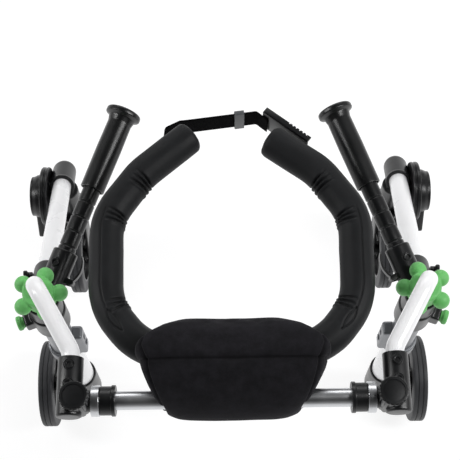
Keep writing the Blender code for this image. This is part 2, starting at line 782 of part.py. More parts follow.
def corner_fitting(frame):
    """The moulded corner: a socket for the side tube, a ribbed knuckle and a sleeve for the crossbar."""
    socket_length = SIDE_TUBE_REAR + SOCKET_OVERRUN - SOCKET_FRONT
    rear = Vector((SIDE_TUBE_X, POST_Y - SIDE_TUBE_REAR - SOCKET_OVERRUN, SIDE_TUBE_HEIGHT))
    socket = turned(
        [
            (0, socket_length),
            (SOCKET_RADIUS - FINE_EDGE, socket_length),
            (SOCKET_RADIUS, socket_length - FINE_EDGE),
            (SOCKET_RADIUS, WIDE_EDGE),
            (SOCKET_RADIUS - WIDE_EDGE, 0),
            (0, 0),
        ],
        ROUND_SIDES,
        upright(rear, AHEAD),
    )
    bolts = [socket_bolt(SOCKET_BOLT_BEHIND + index * SOCKET_BOLT_PITCH) for index in range(2)]
    knuckle = ribbed_disc(
        KNUCKLE_RADIUS, KNUCKLE_RIB_DEPTH, KNUCKLE_RIBS, KNUCKLE_HEIGHT,
        Matrix.Translation((knuckle_x(), CROSSBAR_Y, SIDE_TUBE_HEIGHT)),
    )
    sleeve = turned(
        [
            (0, SLEEVE_LENGTH),
            (SLEEVE_RADIUS, SLEEVE_LENGTH),
            (SLEEVE_RADIUS, SLEEVE_LIP_LENGTH),
            (SLEEVE_RADIUS + SLEEVE_LIP, SLEEVE_LIP_LENGTH - FINE_EDGE),
            (SLEEVE_RADIUS + SLEEVE_LIP, 0),
            (0, 0),
        ],
        ROUND_SIDES,
        upright((sleeve_x(), CROSSBAR_Y, CROSSBAR_HEIGHT), OUT),
    )
    neck = cylinder(
        NECK_RADIUS,
        (sleeve_x() + SLEEVE_LENGTH - SLEEVE_FLOOR / 2, CROSSBAR_Y, CROSSBAR_HEIGHT),
        (knuckle_x(), CROSSBAR_Y, CROSSBAR_HEIGHT),
    )
    floor = Vector((SIDE_TUBE_X, POST_Y - SIDE_TUBE_REAR - SEAT_GAP, SIDE_TUBE_HEIGHT))
    tube_bore = bore(FRAME_TUBE_RADIUS + SEAT_GAP, floor, floor + AHEAD * 2 * socket_length, SMALL_SIDES)
    bar_bore = bore(
        FRAME_TUBE_RADIUS + SEAT_GAP,
        (sleeve_x() - SLEEVE_LENGTH, CROSSBAR_Y, CROSSBAR_HEIGHT),
        (crossbar_reach() + SEAT_GAP, CROSSBAR_Y, CROSSBAR_HEIGHT),
        SMALL_SIDES,
    )
    return piece_of(
        "right_corner_fitting", "black_moulding", frame, socket,
        add=[knuckle, neck, sleeve, *bolts], cut=[tube_bore, bar_bore],
    )


def socket_bolt(behind):
    """The round head of a bolt that clamps the side tube."""
    top = Vector((SIDE_TUBE_X, POST_Y - behind, SIDE_TUBE_HEIGHT + SOCKET_RADIUS))
    profile = [
        (0, SOCKET_BOLT_PROUD - SOCKET_BOLT_CHAMFER),
        (SOCKET_BOLT_RADIUS * 0.5, SOCKET_BOLT_PROUD),
        (SOCKET_BOLT_RADIUS, SOCKET_BOLT_PROUD),
        (SOCKET_BOLT_RADIUS, -SOCKET_BOLT_SUNK),
        (0, -SOCKET_BOLT_SUNK),
    ]
    return turned(profile, SMALL_SIDES, Matrix.Translation(top))


def crossbar_collar(frame):
    """The aluminium ring round the neck of the corner fitting."""
    start = Vector((collar_x(), CROSSBAR_Y, CROSSBAR_HEIGHT))
    inside = (NECK_RADIUS + SEAT_GAP) / math.cos(math.pi / ROUND_SIDES)
    profile = [
        (COLLAR_RADIUS - FINE_EDGE, COLLAR_LENGTH),
        (COLLAR_RADIUS, COLLAR_LENGTH - FINE_EDGE),
        (COLLAR_RADIUS, 0),
        (inside, 0),
        (inside, COLLAR_LENGTH),
    ]
    ring = turned(profile, ROUND_SIDES, upright(start, OUT), ring=True)
    return piece_of("right_crossbar_collar", "brushed_aluminium", frame, ring)


# Hip ring and pads

def ring_half_path(step=math.radians(18)):
    """The right half of the ring's centreline, from its free end to the middle of the back."""
    corners = (
        (RING_FRONT_X, RING_FRONT_Y),
        (RING_SHOULDER_X, RING_SHOULDER_Y),
        (RING_SIDE_X, RING_SIDE_Y),
        (RING_HIP_X, RING_HIP_Y),
        (RING_REAR_X, RING_REAR_Y),
        (0.0, RING_BACK_Y),
    )
    points = [Vector((x, y, RING_HEIGHT)) for x, y in corners]
    return filleted(points, [RING_BENDS] * (len(points) - 2), step)


def path_length(path):
    """How long a path is."""
    return sum((after - before).length for before, after in zip(path, path[1:]))


def along(path, distance):
    """The point and the direction at a distance along a path."""
    for before, after in zip(path, path[1:]):
        step = (after - before).length
        if distance <= step or after is path[-1]:
            way = (after - before).normalized()
            return before + way * distance, way
        distance -= step
    return path[-1], (path[-1] - path[-2]).normalized()


def ring_core(frame):
    """The bent steel bar inside the ring pads, which the pad clamp holds to the crossbar."""
    half = ring_half_path()
    front, _ = along(half, RING_CORE_SETBACK)
    right = [front] + [point for point in half if point.y < front.y]
    left = [Vector((-point.x, point.y, point.z)) for point in reversed(right[:-1])]
    return piece_of("hip_ring_core", "bright_steel", frame, pipe(right + left, RING_CORE_RADIUS, 8))


def core_bore(path, gap):
    """A cutter along the ring core, with room round it."""
    sides = 8
    return pipe(path, (RING_CORE_RADIUS + gap) / math.cos(math.pi / sides), sides)


def fold_places(path):
    """Where along the arm the cover folds: at the shoulder, before the side and before the hip."""
    corners = (
        Vector((RING_SHOULDER_X, RING_SHOULDER_Y, RING_HEIGHT)),
        Vector((RING_SIDE_X, RING_SIDE_Y, RING_HEIGHT)),
        Vector((RING_HIP_X, RING_HIP_Y, RING_HEIGHT)),
    )
    places = []
    for corner in corners:
        travelled = 0.0
        best = (corner - path[0]).length, 0.0
        for before, after in zip(path, path[1:]):
            travelled += (after - before).length
            best = min(best, ((corner - after).length, travelled))
        places.append(best[1])
    return places


def ring_pad(frame):
    """One arm of the padded ring: a round cushion that bends round the hip, folded at its inner side."""
    path = ring_half_path(math.radians(9))
    rear = next(point for point in path if point.y < RING_HIP_Y and point.x <= RING_REAR_X)
    end = path.index(rear)
    before = path[end - 1]
    share = (before.x - RING_PAD_REAR_X) / (before.x - path[-1].x)
    rear = before.lerp(path[-1], share) if before.x > RING_PAD_REAR_X else rear
    path = path[:end] + [rear]
    length = path_length(path)
    folds = fold_places(path)
    places = {round(length * index / PAD_RINGS, 5) for index in range(1, PAD_RINGS + 1)}
    for fold in folds:
        for step in range(-FOLDS, FOLDS + 1):
            places.add(round(fold + step * FOLD_PITCH / 2, 5))
    places = thinned(sorted(place for place in places if place > RING_END_ROUNDING))
    rounding = [RING_END_ROUNDING * (1 - math.cos(math.radians(angle))) for angle in (25, 50, 75)]
    rings = [pad_ring(path, place, folds) for place in [*rounding, *places]]
    tip, _ = along(path, 0.0)
    return piece_of(
        "right_ring_pad", "charcoal_cover", frame,
        loft(rings, start_tip=tip), cut=[arm_bore(length)],
    )


def thinned(places):
    """Leave out places that lie too close to the one before."""
    kept = [places[0]]
    for place in places[1:]:
        if place - kept[-1] > 0.4 * FOLD_PITCH:
            kept.append(place)
    if places[-1] - kept[-1] > 0:
        kept[-1] = places[-1]
    return kept


def arm_bore(length):
    """The blind bore that the ring core fills."""
    path = ring_half_path()
    front, _ = along(path, RING_CORE_SETBACK - SEAT_GAP)
    return core_bore([front] + [point for point in path if point.y < front.y], SEAT_GAP)


def pad_ring(path, place, folds):
    """One ring of points round the arm, with its folds, its seam and its rounded end."""
    centre, way = along(path, place)
    side = UP.cross(way).normalized()
    inward = side if side.dot(Vector((0, 0, 0)) - centre) > 0 else -side
    reach = RING_PAD_RADIUS
    if place < RING_END_ROUNDING:
        reach *= math.sqrt(1 - (1 - place / RING_END_ROUNDING) ** 2)
    crease = 0.0
    for fold in folds:
        offset = place - fold
        if abs(offset) < (FOLDS + 0.5) * FOLD_PITCH / 2:
            crease = FOLD_DEPTH * (0.5 + 0.5 * math.cos(2 * math.pi * offset / FOLD_PITCH))
    ring = []
    for index in range(PAD_SIDES):
        angle = 2 * math.pi * index / PAD_SIDES
        radius = reach - crease * max(0.0, math.cos(angle)) ** 0.5
        if index == PAD_SIDES * 3 // 8:
            radius -= SEAM_DEPTH * reach / RING_PAD_RADIUS
        ring.append(centre + inward * (radius * math.cos(angle)) + UP * (radius * math.sin(angle)))
    return ring


# The back pad's outline from the side, up its front and down its back: how far each point lies from
# the posts' axis and above the crossbar, and half the pad's width there, all in shares of the pad's
# half width
PAD_SECTION = (
    (-0.566, -0.701, 0.788),
    (-0.529, -0.438, 0.774),
    (-0.515, 0.000, 0.752),
    (-0.529, 0.292, 0.752),
    (-0.580, 0.453, 0.818),
    (-0.668, 0.526, 0.934),
    (-0.785, 0.544, 0.978),
    (-0.887, 0.526, 0.920),
    (-0.923, 0.500, 0.891),
    (-1.047, 0.438, 0.854),
    (-1.208, 0.307, 0.774),
    (-1.325, 0.131, 0.708),
    (-1.365, 0.000, 0.686),
    (-1.350, -0.175, 0.701),
    (-1.237, -0.365, 0.774),
    (-1.040, -0.526, 0.832),
    (-0.799, -0.657, 0.861),
    (-0.668, -0.715, 0.832),
)
PAD_SEAM_POINTS = (8, 17)


def pad_station(share):
    """One ring of the back pad at a share of its width, drawn in towards its sides."""
    keep = (1 - abs(share) ** PAD_ROUNDING) ** (1 / PAD_ROUNDING)
    ring = []
    for index, (y_share, height_share, width_share) in enumerate(PAD_SECTION):
        off_y = POST_Y + y_share * PAD_HALF_WIDTH - PAD_MIDDLE_Y
        off_z = CROSSBAR_HEIGHT + height_share * PAD_HALF_WIDTH - PAD_MIDDLE_HEIGHT
        reach = math.hypot(off_y, off_z)
        shrink = keep - (PAD_SEAM_DEPTH / reach if index in PAD_SEAM_POINTS else 0.0) * keep
        width = PAD_HALF_WIDTH * (1 + (width_share - 1) * keep)
        ring.append(Vector((
            width * share,
            PAD_MIDDLE_Y + off_y * shrink,
            PAD_MIDDLE_HEIGHT + off_z * shrink,
        )))
    return ring


def pad_body():
    """The cushion itself, a crowned form that closes at a point on each side."""
    shares = []
    for index in range(-PAD_STATIONS + 1, PAD_STATIONS):
        shares.append(math.sin(math.radians(90) * index / PAD_STATIONS))
    left_tip = Vector((-PAD_HALF_WIDTH, PAD_MIDDLE_Y, PAD_MIDDLE_HEIGHT))
    right_tip = Vector((PAD_HALF_WIDTH, PAD_MIDDLE_Y, PAD_MIDDLE_HEIGHT))
    return loft([pad_station(share) for share in shares], left_tip, right_tip)


def arm_pocket(side):
    """The hollow in the pad's side that the rear end of an arm fills."""
    path = [Vector((side * point.x, point.y, point.z)) for point in ring_half_path()]
    rear = [point for point in path if abs(point.x) > RING_PAD_REAR_X - SEAT_GAP and point.y < RING_HIP_Y]
    inner = rear[-1].lerp(path[-1], (abs(rear[-1].x) - RING_PAD_REAR_X + SEAT_GAP) / abs(rear[-1].x))
    outer = [Vector((side * RING_HIP_X, RING_HIP_Y, RING_HEIGHT))]
    radius = (RING_PAD_RADIUS + SEAT_GAP) / math.cos(math.pi / PAD_SIDES)
    return pipe(outer + rear + [inner], radius, PAD_SIDES)


def back_pad(frame):
    """The cushion behind the hips, which hides the clamp and the middle of the ring core."""
    half = ring_half_path()
    right = [point for point in half if point.y < RING_HIP_Y]
    left = [Vector((-point.x, point.y, point.z)) for point in reversed(right[:-1])]
    bar = bore(
        FRAME_TUBE_RADIUS + SEAT_GAP,
        (-PAD_HALF_WIDTH, CROSSBAR_Y, CROSSBAR_HEIGHT),
        (PAD_HALF_WIDTH, CROSSBAR_Y, CROSSBAR_HEIGHT),
        ROUND_SIDES,
    )
    pocket = block(
        2 * (CLAMP_HALF_LENGTH + SEAT_GAP),
        clamp_front() - clamp_rear() + 2 * SEAT_GAP,
        2 * (CLAMP_HALF_HEIGHT + SEAT_GAP),
        Matrix.Translation((0, (clamp_front() + clamp_rear()) / 2, clamp_height())),
    )
    return piece_of(
        "back_pad", "black_suede", frame, pad_body(),
        cut=[core_bore(right + left, SEAT_GAP), bar, pocket, arm_pocket(1), arm_pocket(-1)],
    )


def clamp_front():
    """The front face of the pad clamp."""
    return RING_BACK_Y + RING_CORE_RADIUS + CLAMP_WALL


def clamp_rear():
    """The rear face of the pad clamp."""
    return CROSSBAR_Y - FRAME_TUBE_RADIUS - CLAMP_WALL


def clamp_height():
    """The middle height of the pad clamp."""
    return (RING_HEIGHT + CROSSBAR_HEIGHT) / 2


def pad_clamp(frame):
    """The cast clamp that joins the ring core to the crossbar."""
    body = block(
        2 * CLAMP_HALF_LENGTH, clamp_front() - clamp_rear(), 2 * CLAMP_HALF_HEIGHT,
        Matrix.Translation((0, (clamp_front() + clamp_rear()) / 2, clamp_height())), EDGE,
    )
    half = ring_half_path()
    right = [point for point in half if point.x < RING_REAR_X and point.y < RING_HIP_Y]
    left = [Vector((-point.x, point.y, point.z)) for point in reversed(right[:-1])]
    bar = bore(
        FRAME_TUBE_RADIUS + SEAT_GAP,
        (-PAD_HALF_WIDTH, CROSSBAR_Y, CROSSBAR_HEIGHT),
        (PAD_HALF_WIDTH, CROSSBAR_Y, CROSSBAR_HEIGHT),
        ROUND_SIDES,
    )
    return piece_of(
        "pad_clamp", "brushed_aluminium", frame, body, cut=[core_bore(right + left, SEAT_GAP), bar],
    )


# Front strap

def arm_face(side, distance, offset):
    """A point beside an arm: a distance along it from its free end, and out from its centreline."""
    front = Vector((side * RING_FRONT_X, RING_FRONT_Y, 0))
    shoulder = Vector((side * RING_SHOULDER_X, RING_SHOULDER_Y, 0))
    way = (shoulder - front).normalized()
    outward = Vector((-way.y * side, way.x * side, 0))
    return front + way * distance + outward * offset


def strap_path():
    """The strap seen from above: along the left arm, round its end and across to the buckle."""
    offset = RING_PAD_RADIUS + SEAT_GAP + STRAP_THICKNESS / 2 + STRAP_OFF_PAD
    start = arm_face(-1, STRAP_START, offset)
    leave = arm_face(-1, STRAP_LEAVE, offset)
    fold = arm_face(-1, -STRAP_FOLD_AHEAD, offset + STRAP_FOLD_OUT)
    end_offset = RING_PAD_RADIUS + 2 * SEAT_GAP + BUCKLE_WALL / 2
    end = arm_face(1, -BUCKLE_OVERHANG - SEAT_GAP, end_offset)
    entry = arm_face(1, -BUCKLE_OVERHANG - STRAP_ENTRY, end_offset)
    bends = (STRAP_BEND, STRAP_BEND, STRAP_END_BEND)
    return filleted((start, leave, fold, entry, end), bends, math.radians(20))


def offset_outline(path, half_thickness):
    """A closed outline round a path, a little to each side of it."""
    sides = ([], [])
    for index, point in enumerate(path):
        before = path[max(index - 1, 0)]
        after = path[min(index + 1, len(path) - 1)]
        way = (after - before).normalized()
        normal = Vector((-way.y, way.x, 0)) * half_thickness
        sides[0].append((point + normal).to_2d())
        sides[1].append((point - normal).to_2d())
    return sides[0] + sides[1][::-1]


def front_strap(frame):
    """The webbing that closes the front of the ring."""
    outline = offset_outline(strap_path(), STRAP_THICKNESS / 2)
    band = plate(outline, STRAP_WIDTH, Matrix.Translation((0, 0, STRAP_HEIGHT)))
    return piece_of("front_strap", "black_webbing", frame, band)


def strap_keeper(frame):
    """The sliding loop that holds the strap's loose end flat."""
    path = strap_path()
    before = next(index for index in range(len(path) - 1) if path[index + 1].x > KEEPER_X)
    start, end = path[before], path[before + 1]
    share = (KEEPER_X - start.x) / (end.x - start.x)
    centre = start.lerp(end, share) + UP * STRAP_HEIGHT
    place = frame_of(centre, end - start, UP)
    depth = STRAP_THICKNESS + 2 * SEAT_GAP
    height = STRAP_WIDTH + 2 * SEAT_GAP
    outside = block(
        KEEPER_LENGTH, depth + 2 * KEEPER_WALL, height + 2 * KEEPER_WALL, place, KEEPER_EDGE,
    )
    inside = block(2 * KEEPER_LENGTH, depth, height, place)
    return piece_of("strap_keeper", "grey_webbing", frame, outside, cut=[inside])


def buckle_frame(distance, offset):
    """The place of something on the buckle: X back along the arm, Y out from it, Z up."""
    point = arm_face(1, distance, RING_PAD_RADIUS + SEAT_GAP * 2 + offset)
    way = arm_face(1, 1.0, 0) - arm_face(1, 0.0, 0)
    outward = arm_face(1, 0.0, 1.0) - arm_face(1, 0.0, 0)
    turn = Matrix((way, outward, way.cross(outward))).transposed().to_4x4()
    return Matrix.Translation(point + UP * BUCKLE_HEIGHT) @ turn


def lever_pivot():
    """The middle of the buckle lever's pin."""
    reach = BUCKLE_DEPTH - LEVER_BARREL_RADIUS - RUNNING_GAP
    return buckle_frame(-BUCKLE_OVERHANG + LEVER_BARREL_RADIUS + LEVER_INSET, reach)


def buckle_body(frame):
    """The channel of the buckle: a back plate against the arm, two notched flanges and the lever pin."""
    middle = BUCKLE_LENGTH / 2 - BUCKLE_OVERHANG
    back = block(
        BUCKLE_LENGTH, BUCKLE_WALL, 2 * BUCKLE_HALF_HEIGHT, buckle_frame(middle, BUCKLE_WALL / 2),
    )
    flanges = []
    notches = []
    for side in (-1, 1):
        rise = Matrix.Translation((0, 0, side * (BUCKLE_HALF_HEIGHT - BUCKLE_WALL / 2)))
        place = buckle_frame(middle, BUCKLE_DEPTH / 2) @ rise
        flanges.append(block(BUCKLE_LENGTH, BUCKLE_DEPTH, BUCKLE_WALL, place))
        for index in range(NOTCHES):
            spot = buckle_frame(NOTCH_START + index * NOTCH_PITCH, BUCKLE_DEPTH) @ rise
            notches.append(block(NOTCH_WIDTH, NOTCH_DEPTH, 2 * BUCKLE_WALL, spot))
    pivot = lever_pivot()
    rise = pivot.to_3x3().col[2] * (BUCKLE_HALF_HEIGHT - BUCKLE_WALL / 2)
    pin = cylinder(BUCKLE_PIN_RADIUS, pivot.translation - rise, pivot.translation + rise, SMALL_SIDES)
    return piece_of(
        "buckle_body", "black_moulding", frame, back, add=[*flanges, pin], cut=notches,
    )


def buckle_lever(carrier):
    """The lever of the buckle, which swings out on its pin."""
    pivot = lever_pivot()
    half = BUCKLE_HALF_HEIGHT - BUCKLE_WALL - RUNNING_GAP
    up = pivot.to_3x3().col[2] * half
    barrel = cylinder(LEVER_BARREL_RADIUS, pivot.translation - up, pivot.translation + up, SMALL_SIDES)
    shift = Matrix.Translation((LEVER_LENGTH / 2, 0, 0))
    blade = block(LEVER_LENGTH, LEVER_THICKNESS, 2 * half, pivot @ shift, LEVER_EDGE)
    ribs = []
    for index in range(LEVER_RIBS):
        spot = Matrix.Translation((LEVER_RIB_START + index * LEVER_RIB_PITCH, LEVER_THICKNESS / 2, 0))
        ribs.append(block(LEVER_RIB_WIDTH, LEVER_RIB_HEIGHT, 1.7 * half, pivot @ spot))
    beyond = up + up.normalized() * BUCKLE_WALL
    hole = bore(
        BUCKLE_PIN_RADIUS + SEAT_GAP, pivot.translation - beyond, pivot.translation + beyond, SMALL_SIDES,
    )
    return piece_of(
        "buckle_lever", "black_moulding", carrier, barrel, add=[blade, *ribs], cut=[hole],
    )


# Post and rear wheel

def column_tube(leg):
    """The grey inner tube of the post."""
    outer = cylinder(COLUMN_RADIUS, by_post(0, 0, COLUMN_FOOT), by_post(0, 0, COLUMN_TOP), BIG_SIDES)
    inner = cylinder(
        COLUMN_RADIUS - COLUMN_WALL, by_post(0, 0, COLUMN_FOOT - CUT_BEYOND),
        by_post(0, 0, COLUMN_TOP + CUT_BEYOND), BIG_SIDES,
    )
    return piece_of("right_column_tube", "grey_powder_coat", leg, outer, cut=[inner])


def outer_post_radius():
    """The outer radius of the lower tube, which takes the column inside."""
    return (COLUMN_RADIUS + SEAT_GAP) / math.cos(math.pi / BIG_SIDES) + OUTER_POST_WALL


def outer_post(leg):
    """The white lower tube of the post."""
    outer = cylinder(
        outer_post_radius(), by_post(0, 0, OUTER_POST_FOOT), by_post(0, 0, OUTER_POST_TOP), BIG_SIDES,
    )
    inner = bore(
        COLUMN_RADIUS + SEAT_GAP, by_post(0, 0, OUTER_POST_FOOT - CUT_BEYOND),
        by_post(0, 0, OUTER_POST_TOP + CUT_BEYOND), BIG_SIDES,
    )
    return piece_of("right_lower_post", "white_powder_coat", leg, outer, cut=[inner])


def post_collar(leg):
    """The clamp ring where the column enters the lower post, with its latch plate on the inner side."""
    foot = OUTER_POST_TOP + SEAT_GAP
    ring = turned(
        [
            (0, POST_COLLAR_HEIGHT),
            (POST_COLLAR_RADIUS - EDGE, POST_COLLAR_HEIGHT),
            (POST_COLLAR_RADIUS, POST_COLLAR_HEIGHT - EDGE),
            (POST_COLLAR_RADIUS, FINE_EDGE),
            (POST_COLLAR_RADIUS - FINE_EDGE, 0),
            (0, 0),
        ],
        BIG_SIDES,
        Matrix.Translation(by_post(0, 0, foot)),
    )
    depth = LATCH_REACH - COLUMN_RADIUS + LATCH_EDGE
    height = LATCH_TOP - foot
    latch = block(
        depth, LATCH_WIDTH, height,
        Matrix.Translation(by_post(-LATCH_REACH + depth / 2, 0, foot + height / 2)), LATCH_EDGE,
    )
    face = by_post(-LATCH_REACH, 0, LATCH_TOP - LATCH_SLOT_BELOW)
    half = UP * (LATCH_SLOT_LENGTH / 2 - LATCH_SLOT_RADIUS)
    slot = plate(
        link_outline(half.length * 2, LATCH_SLOT_RADIUS, LATCH_SLOT_RADIUS * 0.999),
        2 * LATCH_SLOT_DEPTH,
        frame_of(face - half, UP, OUT),
    )
    button_spot = by_post(-LATCH_REACH, 0, foot + LATCH_BUTTON_RISE)
    button = cylinder(
        LATCH_BUTTON_RADIUS, button_spot - OUT * LATCH_BUTTON_PROUD, button_spot + OUT * LATCH_BUTTON_SUNK,
    )
    hole = bore(
        COLUMN_RADIUS + SEAT_GAP, by_post(0, 0, foot - CUT_BEYOND),
        by_post(0, 0, LATCH_TOP + CUT_BEYOND), BIG_SIDES,
    )
    return piece_of(
        "right_post_collar", "grey_powder_coat", leg, ring, add=[latch, button], cut=[slot, hole],
    )


def rear_carrier(leg):
    """The black casting at the foot of the post, with the boss for the rear axle."""
    body = turned(
        [
            (0, CARRIER_TOP),
            (CARRIER_RADIUS - EDGE, CARRIER_TOP),
            (CARRIER_RADIUS, CARRIER_TOP - EDGE),
            (CARRIER_RADIUS, CARRIER_FOOT + CARRIER_FOOT_EDGE),
            (CARRIER_RADIUS - CARRIER_FOOT_EDGE, CARRIER_FOOT),
            (0, CARRIER_FOOT),
        ],
        BIG_SIDES,
        Matrix.Translation(by_post(0, 0, 0)),
    )
    boss = cylinder(
        CARRIER_BOSS_RADIUS, by_post(0, 0, AXLE_HEIGHT), by_post(CARRIER_BOSS_REACH, 0, AXLE_HEIGHT),
    )
    post_bore = bore(
        outer_post_radius() + SEAT_GAP, by_post(0, 0, OUTER_POST_FOOT - SEAT_GAP),
        by_post(0, 0, CARRIER_TOP + CUT_BEYOND), BIG_SIDES,
    )
    axle_bore = bore(
        REAR_AXLE_RADIUS + SEAT_GAP, by_post(-COLUMN_RADIUS / 2, 0, AXLE_HEIGHT),
        by_post(CARRIER_BOSS_REACH + CUT_BEYOND, 0, AXLE_HEIGHT), ROUND_SIDES,
    )
    return piece_of(
        "right_rear_axle_housing", "black_moulding", leg, body, add=[boss], cut=[post_bore, axle_bore],
    )


def rear_wheel_out():
    """How far outboard of the post the middle of the rear wheel lies."""
    return CARRIER_BOSS_REACH + RUNNING_GAP + HUB_HALF_WIDTH


def rear_axle(leg):
    """The rear axle, with its round cap outside the hub."""
    start = -COLUMN_RADIUS / 2 + SEAT_GAP
    cap = rear_wheel_out() + HUB_HALF_WIDTH + RUNNING_GAP - start
    pin = turned(
        [
            (0, cap + REAR_AXLE_CAP_LENGTH),
            (REAR_AXLE_CAP_RADIUS * 0.6, cap + REAR_AXLE_CAP_LENGTH),
            (REAR_AXLE_CAP_RADIUS, cap + REAR_AXLE_CAP_LENGTH * 0.6),
            (REAR_AXLE_CAP_RADIUS, cap),
            (REAR_AXLE_RADIUS, cap),
            (REAR_AXLE_RADIUS, FINE_EDGE),
            (REAR_AXLE_RADIUS - FINE_EDGE, 0),
            (0, 0),
        ],
        ROUND_SIDES,
        upright(by_post(start, 0, AXLE_HEIGHT), OUT),
    )
    return piece_of("right_rear_axle", "bright_steel", leg, pin)


def tyre(name, carrier, centre):
    """A solid tyre. A flat of its tread lies level on the floor."""
    half = TYRE_WIDTH / 2
    inner = WHEEL_RADIUS - TYRE_DEPTH
    profile = [
        (WHEEL_RADIUS, half - TYRE_SHOULDER),
        (WHEEL_RADIUS, -half + TYRE_SHOULDER),
        (WHEEL_RADIUS - TYRE_SHOULDER, -half),
        (inner, -half),
        (inner, half),
        (WHEEL_RADIUS - TYRE_SHOULDER, half),
    ]
    ring = turned(profile, TYRE_SIDES, upright(centre, OUT, math.pi / TYRE_SIDES), ring=True)
    return piece_of(name, "grey_tyre", carrier, ring)


def hub(name, carrier, centre, axle_radius):
    """A moulded wheel with a rim, a web and a boss."""
    rim = (WHEEL_RADIUS - TYRE_DEPTH) * math.cos(math.pi / TYRE_SIDES) - SEAT_GAP
    half = TYRE_WIDTH / 2
    web = WEB_THICKNESS / 2
    profile = [
        (0, HUB_HALF_WIDTH),
        (HUB_BOSS_RADIUS, HUB_HALF_WIDTH),
        (HUB_BOSS_RADIUS + WIDE_EDGE, web),
        (rim - RIM_WALL, web),
        (rim - RIM_WALL + FINE_EDGE, half),
        (rim, half),
        (rim, -half),
        (rim - RIM_WALL + FINE_EDGE, -half),
        (rim - RIM_WALL, -web),
        (HUB_BOSS_RADIUS + WIDE_EDGE, -web),
        (HUB_BOSS_RADIUS, -HUB_HALF_WIDTH),
        (0, -HUB_HALF_WIDTH),
    ]
    wheel = turned(profile, ROUND_SIDES, upright(centre, OUT, math.pi / ROUND_SIDES))
    reach = OUT * (HUB_HALF_WIDTH + CUT_BEYOND)
    hole = bore(axle_radius + SEAT_GAP, centre - reach, centre + reach, SMALL_SIDES)
    return piece_of(name, "black_moulding", carrier, wheel, cut=[hole])


# Head of the post

def leg_housing(leg):
    """The moulded head of the post: column socket, spigot, leg lug, pin block and clamp stud."""
    body = turned(
        [
            (0, SPIGOT_TOP),
            (SPIGOT_RADIUS - FINE_EDGE, SPIGOT_TOP),
            (SPIGOT_RADIUS, SPIGOT_TOP - FINE_EDGE),
            (SPIGOT_RADIUS, HOUSING_TOP),
            (HOUSING_RADIUS, HOUSING_TOP),
            (HOUSING_RADIUS, HOUSING_FOOT + EDGE),
            (HOUSING_RADIUS - EDGE, HOUSING_FOOT),
            (0, HOUSING_FOOT),
        ],
        BIG_SIDES,
        Matrix.Translation(by_post(0, 0, 0)),
    )
    lug = cylinder(LUG_RADIUS, LEG_ROOT, LEG_ROOT + LEG_WAY * LUG_LENGTH, ROUND_SIDES)
    pin_block = block(
        PIN_BLOCK_REACH, PIN_BLOCK_WIDTH, PIN_BLOCK_HEIGHT,
        frame_of(by_post(0, 0, PIN_HEIGHT) + PIN_WAY * PIN_BLOCK_REACH / 2, PIN_WAY, UP), EDGE,
    )
    stud = wing_place(LUG_RADIUS * 0.8)
    stud_end = wing_place(LUG_RADIUS + RUNNING_GAP + WING_THICKNESS * 0.6)
    clamp_stud = cylinder(WING_STUD_RADIUS, stud, stud_end, SMALL_SIDES)
    column = bore(
        COLUMN_RADIUS + SEAT_GAP, by_post(0, 0, COLUMN_FOOT), by_post(0, 0, COLUMN_TOP + SEAT_GAP), BIG_SIDES,
    )
    tube = bore(
        FRAME_TUBE_RADIUS + SLIDE_GAP, by_post(0, 0, HOUSING_FOOT - CUT_BEYOND),
        by_post(0, 0, SPIGOT_TOP + CUT_BEYOND), ROUND_SIDES,
    )
    leg_bore = bore(
        LEG_RADIUS + SEAT_GAP, LEG_ROOT + LEG_WAY * (LEG_START - SEAT_GAP),
        LEG_ROOT + LEG_WAY * (LUG_LENGTH + CUT_BEYOND), ROUND_SIDES,
    )
    pin = bore(
        PIN_RADIUS + SEAT_GAP, by_post(0, 0, PIN_HEIGHT),
        by_post(0, 0, PIN_HEIGHT) + PIN_WAY * (PIN_BLOCK_REACH + CUT_BEYOND), SMALL_SIDES,
    )
    return piece_of(
        "right_leg_housing", "black_moulding", leg, body,
        add=[lug, pin_block, clamp_stud], cut=[column, tube, leg_bore, pin],
    )


def wing_place(offset):
    """A point on the wing knob's axis, out from the leg's centreline."""
    return LEG_ROOT + LEG_WAY * WING_ALONG_LUG + LEG_OUT * offset


def wing_knob(carrier):
    """The knob that clamps the leg, a boss with one long wing."""
    inner = wing_place(LUG_RADIUS + RUNNING_GAP)
    outer = wing_place(LUG_RADIUS + RUNNING_GAP + WING_THICKNESS)
    boss = cylinder(WING_BOSS_RADIUS, inner, outer, ROUND_SIDES)
    wing_reach = WING_LENGTH - WING_BOSS_RADIUS - WING_TIP_RADIUS
    wing = plate(
        link_outline(wing_reach, WING_BOSS_RADIUS * 0.8, WING_TIP_RADIUS),
        WING_THICKNESS * 0.5,
        frame_of(wing_place(LUG_RADIUS + RUNNING_GAP + WING_THICKNESS * 0.7), UP, LEG_OUT),
    )
    hole = bore(
        WING_STUD_RADIUS + SEAT_GAP, wing_place(LUG_RADIUS),
        wing_place(LUG_RADIUS + RUNNING_GAP + WING_THICKNESS * 0.6 + SEAT_GAP), SMALL_SIDES,
    )
    return piece_of("right_wing_knob", "black_moulding", carrier, boss, add=[wing], cut=[hole])


